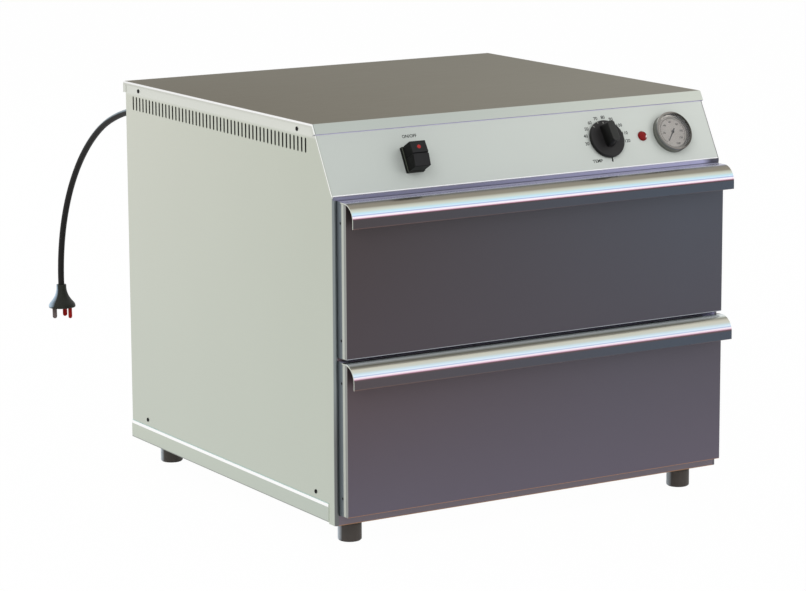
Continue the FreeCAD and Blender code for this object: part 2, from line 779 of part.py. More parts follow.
def make_back_panel():
    y = (depth(f"{BACK_PANEL_OUT} - steel"), depth(BACK_PANEL_OUT))
    edge = f"({HALF} - steel - touch_gap)"
    plate = box("back_plate", (f"-{edge}", edge), y,
                (height("tray_lift + tray_wall"), height("cabinet_height - steel")))
    holes = [rod("gland_hole", "y", "gland_thread + hole_clearance", "3 * steel",
                 f"-{HALF} + gland_inset", depth(f"{BACK_PANEL_OUT} - 2 * steel"), height("gland_height"))]
    screws = []
    for number, (x, z) in enumerate(back_screw_places(), start=1):
        holes.append(rod(f"back_hole_{number}", "y", "side_screw_shank + hole_clearance", "3 * steel",
                         x, depth(f"{BACK_PANEL_OUT} - 2 * steel"), z))
        head = rod(f"back_screw_{number}_head", "y", "back_screw_radius", "back_screw_head",
                   x, depth(BACK_PANEL_OUT), z)
        shank = rod(f"back_screw_{number}_shank", "y", "side_screw_shank", "steel",
                    x, depth(f"{BACK_PANEL_OUT} - steel"), z)
        screws.append(joined(f"back_screw_{number}", head, shank))
    node(cut("back_panel", plate, *holes), "back_panel")
    node(group("back_screws", *screws), "back_screws")


# ---- front rails and control panel -----------------------------------------------------

def make_rails():
    """Header, middle and bottom rails of the front, each a folded nose with its landing."""
    width = (f"-{HALF} + stile_face", f"{HALF} - stile_face")
    land = (depth("rebate_depth - steel"), depth("rebate_depth"))
    nose = (FRONT, land[0])
    face = (FRONT, depth("steel"))

    def rail(name, low, high, landing_low, landing_high):
        parts = [
            box(name + "_face", width, face, (height(low), height(high))),
            box(name + "_under", width, nose, (height(low), height(f"{low} + steel"))),
            box(name + "_over", width, nose, (height(f"{high} - steel"), height(high))),
            box(name + "_landing", (f"-{LINER_HALF}", LINER_HALF), land,
                (height(landing_low), height(landing_high))),
        ]
        node(joined(name, *parts), name)

    rail("header_rail", HEADER_BOTTOM, f"{HEADER_BOTTOM} + header_height",
         LINER_ROOF, f"{HEADER_BOTTOM} + header_height")
    rail("middle_rail", NOSE_LOW, NOSE_HIGH, f"{NOSE_LOW} - landing_height", f"{NOSE_HIGH} + landing_height")
    rail("bottom_rail", "0", RAIL_TOP, "0", LINER_FLOOR)


def round_hole(name, offset, radius):
    """A hole square through the sloping panel, on its control line."""
    return rod(name, "z", radius, "4 * steel", offset, "control_line", "-2.5 * steel")


def make_control_panel():
    """Sloping panel with its folded ledge and the holes for the four controls."""
    points = [
        (panel_y("0"), panel_z("0")),
        (panel_y(f"{PANEL_RUN} - 2 * steel"), panel_z(f"{PANEL_RUN} - 2 * steel")),
        (panel_y(f"{PANEL_RUN} - 2 * steel", "-steel"), panel_z(f"{PANEL_RUN} - 2 * steel", "-steel")),
        (depth("panel_foot_setback + steel * tan(panel_tilt) + steel / cos(panel_tilt)"),
         height("panel_foot_height + steel")),
        (depth("panel_ledge"), height("panel_foot_height + steel")),
        (depth("panel_ledge"), PANEL_FOOT_Z),
    ]
    half = f"({HALF} - panel_side_gap)"
    folded = section_along_x("panel_folded", points, (f"-{half}", half))
    switch_hole = box("switch_hole",
                      ("-switch_offset - neck_width / 2 - hole_clearance",
                       "-switch_offset + neck_width / 2 + hole_clearance"),
                      ("switch_line - neck_length / 2 - hole_clearance",
                       "switch_line + neck_length / 2 + hole_clearance"),
                      ("-2.5 * steel", "1.5 * steel"))
    holes = [
        switch_hole,
        round_hole("spindle_hole", "knob_offset", "spindle_radius + 2"),
        round_hole("lamp_hole", "lamp_offset", "lamp_stem + hole_clearance"),
        round_hole("gauge_hole", "gauge_offset", "gauge_body_radius + hole_clearance"),
    ]
    cutters = on_panel(joined("panel_holes", *holes))
    drilled = cut("panel_drilled", folded, cutters)
    foot_y = front_y() + size["panel_foot_setback"]

    def foot_bend(middle, direction):
        return close(abs(direction.x), 1) and close(middle.y, foot_y)

    node(rounded("control_panel", drilled, size["steel"] * 0.9, foot_bend), "control_panel")


# ---- liner and insulation --------------------------------------------------------------

def make_liner():
    """Heated liner: flat sheets round both compartments and a shelf between them."""
    y = (depth("rebate_depth"), depth(LINER_BACK))
    inside = (f"-{LINER_HALF}", LINER_HALF)
    walls = (height(f"{LINER_FLOOR} - liner_steel"), height(f"{LINER_ROOF} + liner_steel"))
    for side in ("left", "right"):
        x = mirrored((LINER_HALF, f"{LINER_HALF} + liner_steel"), side)
        node(box("liner_" + side, x, y, walls), "liner_" + side)
    roof = box("liner_roof_sheet", inside, y, (height(LINER_ROOF), walls[1]))
    bulb_hole = rod("capillary_hole", "z", "capillary_radius + 1", "3 * liner_steel",
                    "knob_offset", depth("capillary_back"), height(f"{LINER_ROOF} - liner_steel"))
    node(cut("liner_roof", roof, bulb_hole), "liner_roof")
    node(box("liner_floor", inside, y, (walls[0], height(LINER_FLOOR))), "liner_floor")
    shelf_top = f"({NOSE_LOW} + {NOSE_HIGH} + liner_steel) / 2"
    node(box("liner_shelf", inside, y, (height(f"{shelf_top} - liner_steel"), height(shelf_top))), "liner_shelf")
    back = box("liner_back_sheet", (f"-{LINER_HALF} - liner_steel", f"{LINER_HALF} + liner_steel"),
               (depth(LINER_BACK), depth(f"{LINER_BACK} + liner_steel")), walls)
    holes = [rod(f"{level}_tail_hole_{side}", "y", "heater_radius + hole_clearance", "3 * liner_steel",
                 f"{sign} * heater_half_width", depth(f"{LINER_BACK} - liner_steel"), z)
             for level, z in HEATER_LEVELS.items() for side, sign in (("left", -1), ("right", 1))]
    node(cut("liner_back", back, *holes), "liner_back")


def make_insulation():
    """Mineral-fibre blankets round the liner."""
    side_x = (f"{LINER_HALF} + liner_steel", f"{LINER_HALF} + liner_steel + side_blanket")
    side_y = (depth("rebate_depth + steel"), depth(LINER_BACK))
    side_z = (height("low_screw_height + flange"), height(f"{LINER_ROOF} + liner_steel"))
    blankets = [box(f"{side}_blanket", mirrored(side_x, side), side_y, side_z) for side in ("left", "right")]
    node(group("side_insulation", *blankets), "side_insulation")
    width = (f"-{LINER_HALF}", LINER_HALF)
    behind = (depth(f"{LINER_BACK} + liner_steel"), depth(f"{LINER_BACK} + liner_steel + back_blanket"))
    slab = box("back_blanket_slab", width, behind, side_z)
    holes = [box(f"{level}_tail_room_{side}",
                 (f"{sign} * heater_half_width - 2 * heater_radius", f"{sign} * heater_half_width + 2 * heater_radius"),
                 (behind[0], behind[1]), (f"{z} - 2 * heater_radius", f"{z} + 2 * heater_radius"))
             for level, z in HEATER_LEVELS.items() for side, sign in (("left", -1), ("right", 1))]
    node(cut("back_insulation", slab, *holes), "back_insulation")
    level_y = (depth("rebate_depth + steel"), depth(LINER_BACK))
    base = box("base_board", width, level_y,
               (height(f"{LINER_FLOOR} - liner_steel - level_board"), height(f"{LINER_FLOOR} - liner_steel")))
    roof = box("roof_board", width, level_y,
               (height(f"{LINER_ROOF} + liner_steel"), height(f"{LINER_ROOF} + liner_steel + level_board")))
    hole = rod("board_hole", "z", "capillary_radius + 1", "2 * level_board", "knob_offset",
               depth("capillary_back"), height(LINER_ROOF))
    node(group("level_insulation", base, cut("roof_board_drilled", roof, hole)), "level_insulation")


# ---- heating elements ------------------------------------------------------------------

SHELF_TOP = f"(({NOSE_LOW} + {NOSE_HIGH} + liner_steel) / 2)"
HEATER_LEVELS = {
    "lower": height(f"{LINER_FLOOR} + heater_lift + heater_radius"),
    "upper": height(f"{SHELF_TOP} + heater_lift + heater_radius"),
}


def make_heater(level, floor_words, floor_height):
    """Tubular element bent to a U, its tails through the liner's back, on two saddle strips."""
    z = size["foot_height"] + floor_height + size["heater_lift"] + size["heater_radius"]
    half = size["heater_half_width"]
    tail = front_y() + size["rebate_depth"] + size["liner_depth"] + size["heater_tail"]
    nose = front_y() + size["heater_front"]
    tube = pipe([(-half, tail, z), (-half, nose, z), (half, nose, z), (half, tail, z)],
                size["heater_radius"], size["heater_bend"])
    element = shaped(level + "_element", tube)
    saddles = []
    for place, y in (("front", "heater_foot_front + heater_bend"), ("back", f"{LINER_BACK} - heater_foot_back")):
        for side, sign in (("left", -1), ("right", 1)):
            saddles.append(box(f"{level}_{place}_{side}_saddle",
                               (f"{sign} * heater_half_width - heater_foot / 2",
                                f"{sign} * heater_half_width + heater_foot / 2"),
                               (depth(f"{y} - heater_foot / 2"), depth(f"{y} + heater_foot / 2")),
                               (height(floor_words), height(f"{floor_words} + heater_lift + heater_radius"))))
    node(joined(level + "_heater", element, *saddles), level + "_heater")


# ---- drawers ---------------------------------------------------------------------------

DRAWERS = {"lower": "0", "upper": "drawer_pitch"}


def make_drawer(name, rise):
    """One drawer: outer skin, handle, inner pan with insulation, box, slide members, screws."""
    low = f"(front_bottom + {rise})"
    high = f"({low} + front_height)"
    skin_top = f"({high} - handle_steel)"
    half = f"({HALF} - front_side_gap)"
    width = (f"-{half}", half)
    split = depth("-front_depth + skin_depth")
    face = depth("-front_depth")

    outer = box(name + "_skin_block", width, (face, split), (height(low), height(skin_top)))
    inner = box(name + "_skin_hollow", (f"-{half} + steel", f"{half} - steel"),
                (depth("-front_depth + steel"), depth("steel")),
                (height(f"{low} + steel"), height(f"{skin_top} - steel")))
    face_y = front_y() - size["front_depth"]
    edge_x = size["cabinet_width"] / 2 - size["front_side_gap"]
    low_z = size["foot_height"] + size["front_bottom"] + (size["drawer_pitch"] if name == "upper" else 0)

    def upright_bend(wall):
        def chosen(middle, direction):
            on_corner = close(abs(middle.x), edge_x - wall) and close(middle.y, face_y + wall)
            return on_corner and close(abs(direction.z), 1)
        return chosen

    outer_round = rounded(name + "_skin_outer", outer, size["front_radius"], upright_bend(0))
    inner_round = rounded(name + "_skin_inner", inner, size["front_radius"] - size["steel"],
                          upright_bend(size["steel"]))
    hollowed = cut(name + "_skin_hollowed", outer_round, inner_round)

    def bottom_bend(middle, direction):
        return close(middle.z, low_z) and close(middle.y, face_y) and close(abs(direction.x), 1)

    node(rounded(name + "_front_skin", hollowed, size["front_bottom_radius"], bottom_bend),
         name + "_front_skin")

    rear = depth("pan_depth")
    pan_block = box(name + "_pan_block", width, (split, rear), (height(low), height(high)))
    pan_hollow = box(name + "_pan_hollow", (f"-{half} + pan_steel", f"{half} - pan_steel"),
                     (depth("-front_depth"), depth("pan_depth - pan_steel")),
                     (height(f"{low} + pan_steel"), height(f"{high} - pan_steel")))
    pan = cut(name + "_pan", pan_block, pan_hollow)
    holes = []
    screws = []
    for side, sign in (("left", -1), ("right", 1)):
        for place, z in (("low", f"{low} + front_screw_low"), ("high", f"{high} - front_screw_drop")):
            x = f"-{half}" if side == "left" else f"{half} - 3 * pan_steel"
            at = (x, depth("-front_depth + skin_depth + front_screw_set"), height(z))
            holes.append(rod(f"{name}_{side}_{place}_front_hole", "x", "front_screw_radius + hole_clearance / 2",
                             "3 * pan_steel", *at))
            screws.append(rod(f"{name}_{side}_{place}_front_screw", "x", "front_screw_radius",
                              "3 * pan_steel", *at))
    node(cut(name + "_front_pan", pan, *holes), name + "_front_pan")
    node(group(name + "_front_screws", *screws), name + "_front_screws")
    node(box(name + "_front_insulation", (f"-{half} + 4 * pan_steel + touch_gap", f"{half} - 4 * pan_steel - touch_gap"),
             (depth("-front_depth + steel"), depth("pan_depth - pan_steel")),
             (height(f"{low} + steel"), height(f"{skin_top} - steel"))), name + "_front_insulation")
    make_handle(name, high)
    make_box(name, low, rear)
    make_slides(name, low)


def make_handle(name, high):
    """Full-width pull: flat flange on the drawer's top edge, quarter bend and hanging lip."""
    half = f"({HALF} - handle_side_gap)"
    width = (f"-{half}", half)
    centre_y = depth("-front_depth")
    centre_z = height(f"{high} - handle_radius")
    flange = box(name + "_handle_flange", width, (centre_y, depth("-front_depth + skin_depth")),
                 (height(f"{high} - handle_steel"), height(high)))
    lip_y = (depth("-front_depth - handle_radius"), depth("-front_depth - handle_radius + handle_steel"))
    lip = box(name + "_handle_lip", width, lip_y,
              (height(f"{high} - handle_radius - handle_lip"), centre_z))
    outside = rod(name + "_handle_outside", "x", "handle_radius", f"2 * {half}", f"-{half}", centre_y, centre_z)
    inside = rod(name + "_handle_inside", "x", "handle_radius - handle_steel", f"2 * {half} + 2 * steel",
                 f"-{half} - steel", centre_y, centre_z)
    ring = cut(name + "_handle_ring", outside, inside)
    quarter = box(name + "_handle_quarter", (f"-{half} - steel", f"{half} + steel"),
                  (lip_y[0], centre_y), (centre_z, height(high)))
    bend = doc.addObject("Part::Common", name + "_handle_bend")
    bend.Base = ring
    bend.Tool = quarter
    node(joined(name + "_handle", flange, bend, lip), name + "_handle")


def make_box(name, low, rear):
    """Drawer box: a folded tray with an inward rim that carries a pan."""
    outer_x = f"({LINER_HALF} - slide_width)"
    floor = f"({low} + box_lift)"
    top = f"({floor} + box_height)"
    back = f"{rear} + box_length"
    block = box(name + "_box_block", (f"-{outer_x}", outer_x), (rear, back), (height(floor), height(top)))
    hollow = box(name + "_box_hollow", (f"-{outer_x} + box_steel", f"{outer_x} - box_steel"),
                 (f"{rear} + box_steel", f"{back} - box_steel"),
                 (height(f"{floor} + box_steel"), height(f"{top} - box_steel")))
    mouth = box(name + "_box_mouth", (f"-{outer_x} + box_rim", f"{outer_x} - box_rim"),
                (f"{rear} + box_rim", f"{back} - box_rim"),
                (height(f"{top} - 2 * box_steel"), height(f"{top} + box_steel")))
    node(cut(name + "_drawer_box", block, hollow, mouth), name + "_drawer_box")


def make_slides(name, low):
    """Telescopic slides: channel fixed to the liner, middle member and drawer member."""
    wall = LINER_HALF
    centre = f"({low} + box_lift + slide_centre)"
    begin = "(rebate_depth + slide_start)"
    y = (depth(begin), depth(f"{begin} + slide_length"))

    def channel(piece, side, web, reach, half_height):
        x_web = mirrored(web, side)
        x_reach = mirrored(reach, side)
        return joined(f"{name}_{side}_{piece}",
                      box(f"{name}_{side}_{piece}_web", x_web, y,
                          (height(f"{centre} - {half_height}"), height(f"{centre} + {half_height}"))),
                      box(f"{name}_{side}_{piece}_upper", x_reach, y,
                          (height(f"{centre} + {half_height} - slide_steel"), height(f"{centre} + {half_height}"))),
                      box(f"{name}_{side}_{piece}_lower", x_reach, y,
                          (height(f"{centre} - {half_height}"), height(f"{centre} - {half_height} + slide_steel"))))

    step = "(slide_steel + slide_running_gap)"
    outer = "(slide_height / 2)"
    middle = f"({outer} - {step})"
    inner = f"({middle} - {step})"
    fixed_web = (f"{wall} - slide_steel", wall)
    fixed_reach = (f"{wall} - slide_width + slide_lap - slide_steel", wall)
    middle_web = (f"{wall} - slide_lap + slide_steel", f"{wall} - slide_lap + 2 * slide_steel")
    middle_reach = (f"{wall} - slide_width + slide_lap / 2 + slide_running_gap", middle_web[1])
    drawer_web = (f"{wall} - slide_width", f"{wall} - slide_width + slide_steel")
    drawer_reach = (drawer_web[0], f"{wall} - slide_lap + slide_steel / 2")
    for piece, web, reach, half_height in (
            ("cabinet_rails", fixed_web, fixed_reach, outer),
            ("middle_rails", middle_web, middle_reach, middle),
            ("drawer_rails", drawer_web, drawer_reach, inner)):
        pair = [channel(piece, side, web, reach, half_height) for side in ("left", "right")]
        node(group(f"{name}_{piece}", *pair), f"{name}_{piece}")


# ---- thermostat and its knob ------------------------------------------------------------

def make_knob():
    """Moulded knob: chamfered skirt and a tapered grip bar, on the thermostat's spindle."""
    top = "(knob_gap + knob_skirt)"
    skirt = turned("knob_disc", [
        ("spindle_radius", "knob_gap"),
        ("knob_radius", "knob_gap"),
        ("knob_radius", "knob_gap + steel"),
        ("knob_top_radius", f"{top} - steel"),
        ("knob_top_radius - steel", top),
        ("spindle_radius", top),
    ])
    grip = doc.addObject("Part::Wedge", "knob_grip")
    for prop, words in (
            ("Xmin", "-grip_width / 2 - grip_flare"), ("Xmax", "grip_width / 2 + grip_flare"),
            ("Zmin", "-grip_rise - grip_flare"), ("Zmax", "grip_fall + grip_nose"),
            ("X2min", "-grip_width / 2"), ("X2max", "grip_width / 2"),
            ("Z2min", "-grip_rise"), ("Z2max", "grip_fall"),
            ("Ymin", "0"), ("Ymax", f"knob_height - {top} + steel")):
        bind(grip, prop, words)
    grip.Placement = FreeCAD.Placement(FreeCAD.Vector(), FreeCAD.Rotation(FreeCAD.Vector(1, 0, 0), 90))
    seat(grip, z=f"{top} - steel")
    bar = joined("knob_raw", skirt, grip)
    doc.recompute()
    height_top = size["knob_height"]

    def crown(middle, direction):
        return middle.z > height_top - 0.5

    soft = rounded("knob_soft", bar, size["steel"], crown)
    socket = rod("knob_socket", "z", "spindle_radius", "knob_height - 3 * steel", "0", "0", "0")
    turned_knob = cut("knob_bored", soft, socket)
    turned_knob.Placement = FreeCAD.Placement(FreeCAD.Vector(), FreeCAD.Rotation(FreeCAD.Vector(0, 0, 1), -6))
    bind(turned_knob, "Placement.Rotation.Angle", "-knob_turn")
    seat(turned_knob, "knob_offset", "control_line", "0")
    node(on_panel(group("thermostat_knob", turned_knob)), "thermostat_knob")
    spindle = rod("spindle_bar", "z", "spindle_radius", "knob_height - 3 * steel + spindle_depth",
                  "knob_offset", "control_line", "-spindle_depth")
    node(on_panel(group("thermostat_spindle", spindle)), "thermostat_spindle")


def make_thermostat():
    """Capillary thermostat behind the panel, with its capillary and bulb in the upper chamber."""
    half = "thermostat_size / 2"
    case = box("thermostat_case", (f"knob_offset - {half}", f"knob_offset + {half}"),
               (f"control_line - {half}", f"control_line + {half}"),
               ("-steel - thermostat_depth", "-steel"))
    bore = rod("thermostat_bore", "z", "spindle_radius + running_clearance", "spindle_depth + steel",
               "knob_offset", "control_line", "-spindle_depth - touch_gap")
    node(on_panel(cut("thermostat_body", case, bore)), "thermostat_body")

    along = size["control_line"]
    tilt = math.radians(size["panel_tilt"])
    inward = size["steel"] + size["thermostat_depth"]
    rear_y = front_y() + size["panel_foot_setback"] + along * math.sin(tilt) + inward * math.cos(tilt)
    rear_z = size["foot_height"] + size["panel_foot_height"] + along * math.cos(tilt) - inward * math.sin(tilt)
    header = size["front_bottom"] + size["drawer_pitch"] + size["front_height"] + size["front_clearance"]
    roof_z = size["foot_height"] + header - size["landing_height"]
    bulb_z = roof_z - size["bulb_drop"] - size["bulb_radius"]
    drop_y = front_y() + size["capillary_back"]
    x = size["knob_offset"]
    inside = FreeCAD.Vector(0, math.cos(tilt), -math.sin(tilt))
    exit_point = FreeCAD.Vector(x, rear_y, rear_z)
    bend = exit_point + inside * ((drop_y - rear_y) / inside.y)
    start_y = front_y() + size["bulb_start"]
    tube = pipe([tuple(exit_point), tuple(bend), (x, drop_y, bulb_z), (x, start_y, bulb_z)],
                size["capillary_radius"], min(size["capillary_bend"], (drop_y - rear_y) / 1.5))
    bulb = rod("bulb_bar", "y", "bulb_radius", "bulb_length", "knob_offset", depth("bulb_start"),
               height(f"{LINER_ROOF} - bulb_drop - bulb_radius"))
    clips = [box(f"bulb_clip_{place}", ("knob_offset - bulb_radius", "knob_offset + bulb_radius"),
                 (depth(f"bulb_start + {share} * bulb_length - bulb_radius"),
                  depth(f"bulb_start + {share} * bulb_length + bulb_radius")),
                 (height(f"{LINER_ROOF} - bulb_drop - bulb_radius"), height(LINER_ROOF)))
             for place, share in (("front", 0.2), ("back", 0.8))]
    node(joined("thermostat_bulb", shaped("capillary", tube), bulb, *clips), "thermostat_bulb")


# ---- pilot lamp -------------------------------------------------------------------------

def make_pilot_lamp():
    """Red lens pushed through the panel into its holder."""
    lens = turned("lens_raw", [
        ("0", "-lamp_depth / 2"),
        ("lamp_stem", "-lamp_depth / 2"),
        ("lamp_stem", "0"),
        ("lamp_radius", "0"),
        ("lamp_radius", "lamp_rim"),
        ("lamp_radius * 0.94", "lamp_rim + lamp_dome * 0.34"),
        ("lamp_radius * 0.77", "lamp_rim + lamp_dome * 0.64"),
        ("lamp_radius * 0.5", "lamp_rim + lamp_dome * 0.87"),
        ("lamp_radius * 0.2", "lamp_rim + lamp_dome * 0.98"),
        ("0", "lamp_rim + lamp_dome"),
    ])
    seat(lens, "lamp_offset", "control_line", "0")
    node(on_panel(group("pilot_lens", lens)), "pilot_lens")
    holder = turned("holder_raw", [
        ("0", "-steel - lamp_depth"),
        ("lamp_radius", "-steel - lamp_depth"),
        ("lamp_radius", "-steel"),
        ("lamp_stem + hole_clearance", "-steel"),
        ("lamp_stem + hole_clearance", "-lamp_depth / 2 - touch_gap"),
        ("0", "-lamp_depth / 2 - touch_gap"),
    ])
    seat(holder, "lamp_offset", "control_line", "0")
    node(on_panel(group("pilot_holder", holder)), "pilot_holder")


# ---- dial thermometer -------------------------------------------------------------------

def make_gauge():
    """Dial thermometer: turned case with its bezel, dial plate, glass and needle."""
    bore = "(gauge_radius - gauge_wall)"
    glass_low = "(gauge_proud - glass_set - glass_thickness)"
    case = turned("case_raw", [
        ("needle_pin + running_clearance", "-gauge_body_depth"),
        ("gauge_body_radius", "-gauge_body_depth"),
        ("gauge_body_radius", "0"),
        ("gauge_radius", "0"),
        ("gauge_radius", "gauge_proud - gauge_wall / 2"),
        ("gauge_radius - gauge_wall / 2", "gauge_proud"),
        (bore, "gauge_proud"),
        (bore, glass_low),
        (f"{bore} - gauge_wall / 2", glass_low),
        (f"{bore} - gauge_wall / 2", "dial_height"),
        ("needle_pin + running_clearance", "dial_height"),
    ])
    seat(case, "gauge_offset", "control_line", "0")
    node(on_panel(group("gauge_case", case)), "gauge_case")
    rim = f"({bore} - gauge_wall / 2 - hole_clearance)"
    dial = turned("dial_raw", [
        ("needle_pin + running_clearance", "dial_height"),
        (rim, "dial_height"),
        (rim, "dial_height + dial_thickness"),
        ("needle_pin + running_clearance", "dial_height + dial_thickness"),
    ])
    seat(dial, "gauge_offset", "control_line", "0")
    node(on_panel(group("gauge_dial", dial)), "gauge_dial")
    glass = rod("glass_disc", "z", f"{bore} - hole_clearance / 2", "glass_thickness",
                "gauge_offset", "control_line", glass_low)
    node(on_panel(group("gauge_glass", glass)), "gauge_glass")

    lift = "(dial_height + dial_thickness + touch_gap)"
    pin = rod("needle_pin_bar", "z", "needle_pin", f"needle_pin_depth + {lift} + needle_thickness",
              "0", "0", "-needle_pin_depth")
    hub = rod("needle_hub_disc", "z", "needle_hub", "needle_thickness * 2", "0", "0", lift)
    blade = box("needle_blade", ("-needle_width / 2", "needle_width / 2"),
                ("-needle_tail", "needle_length"), (lift, f"{lift} + needle_thickness"))
    needle = joined("needle_raw", pin, hub, blade)
    needle.Placement = FreeCAD.Placement(FreeCAD.Vector(), FreeCAD.Rotation(FreeCAD.Vector(0, 0, 1), 141))
    bind(needle, "Placement.Rotation.Angle", "needle_turn")
    seat(needle, "gauge_offset", "control_line", "0")
    node(on_panel(group("gauge_needle", needle)), "gauge_needle")


# ---- rocker switch ----------------------------------------------------------------------

def make_switch():
    """Splash-proof switch: collar on the panel, neck through it, and a tall rocker cap."""
    def centred(half_width, half_length):
        return ((f"-switch_offset - {half_width}", f"-switch_offset + {half_width}"),
                (f"switch_line - {half_length}", f"switch_line + {half_length}"))

    collar = box("switch_collar", *centred("collar_width / 2", "collar_length / 2"), ("0", "collar_height"))
    neck = box("switch_neck", *centred("neck_width / 2", "neck_length / 2"), ("-switch_depth", "neck_height"))
    pivot_hole = rod("pivot_hole", "x", "rocker_pin + running_clearance", "neck_width * 2",
                     "-switch_offset - neck_width", "switch_line", "rocker_pivot_height")
    node(on_panel(cut("switch_housing", joined("switch_raw", collar, neck), pivot_hole)), "switch_housing")

    top_edge = "(switch_line + rocker_length / 2)"
    low_edge = "(switch_line - rocker_length / 2)"
    cap = section_along_x("rocker_block", [
        (low_edge, "rocker_lift - rocker_throw"),
        (top_edge, "rocker_lift + rocker_throw"),
        (top_edge, "rocker_height - rocker_top_fall"),
        ("switch_line", "rocker_height"),
        (low_edge, "rocker_height - rocker_bottom_fall"),
    ], ("-switch_offset - rocker_width / 2", "-switch_offset + rocker_width / 2"))
    pocket = box("rocker_pocket_block",
                 *centred("(rocker_width / 2 - rocker_wall)", "(rocker_length / 2 - rocker_wall)"),
                 ("0", "rocker_pocket"))
    pin = rod("rocker_pin_bar", "x", "rocker_pin", "rocker_width",
              "-switch_offset - rocker_width / 2", "switch_line", "rocker_pivot_height")
    groove = box("rocker_groove", ("-switch_offset - rocker_width", "-switch_offset + rocker_width"),
                 ("switch_line - touch_gap * 1.5", "switch_line + touch_gap * 1.5"),
                 ("rocker_height - 2 * touch_gap", "rocker_height + steel"))
    lens_hole = rod("rocker_lens_hole", "z", "rocker_lens_radius + hole_clearance / 2", "rocker_lens_depth * 3",
                    "-switch_offset", "switch_line + rocker_lens_rise", "rocker_height - rocker_lens_depth")
    hollow_cap = cut("rocker_hollow", cap, pocket, groove, lens_hole)
    node(on_panel(joined("switch_rocker", hollow_cap, pin)), "switch_rocker")
    lens = rod("rocker_lens_disc", "z", "rocker_lens_radius",
               "rocker_lens_depth - rocker_top_fall / 2 + rocker_lens_proud",
               "-switch_offset", "switch_line + rocker_lens_rise", "rocker_height - rocker_lens_depth")
    node(on_panel(group("rocker_lens", lens)), "rocker_lens")


# ---- mains lead --------------------------------------------------------------------------

CORD_ROUTE = [
    # depth behind the front plane, height above the frame's bottom edge
    (616.8, 477.4),
    (643.0, 476.0),
    (694.7, 463.4),
    (748.6, 439.9),
    (798.3, 406.2),
    (840.7, 364.1),
    (874.0, 315.4),
    (897.0, 261.1),
    (907.9, 203.1),
    (906.9, 173.4),
]


def make_blade(name, x, y, turn):
    """One flat plug pin with a rounded tip, its length along Z."""
    half = "(pin_width / 2)"
    thickness = ("-pin_thickness / 2", "pin_thickness / 2")
    shank = box(name + "_shank", (f"-{half}", half), thickness, ("0", f"pin_length - {half}"))
    tip = rod(name + "_tip", "y", half, "pin_thickness", "0", thickness[0], f"pin_length - {half}")
    blade = joined(name, shank, tip)
    blade.Placement = FreeCAD.Placement(FreeCAD.Vector(), FreeCAD.Rotation(FreeCAD.Vector(0, 0, 1), 30))
    bind(blade, "Placement.Rotation.Angle", turn)
    seat(blade, x, y, "plug_height")
    return blade


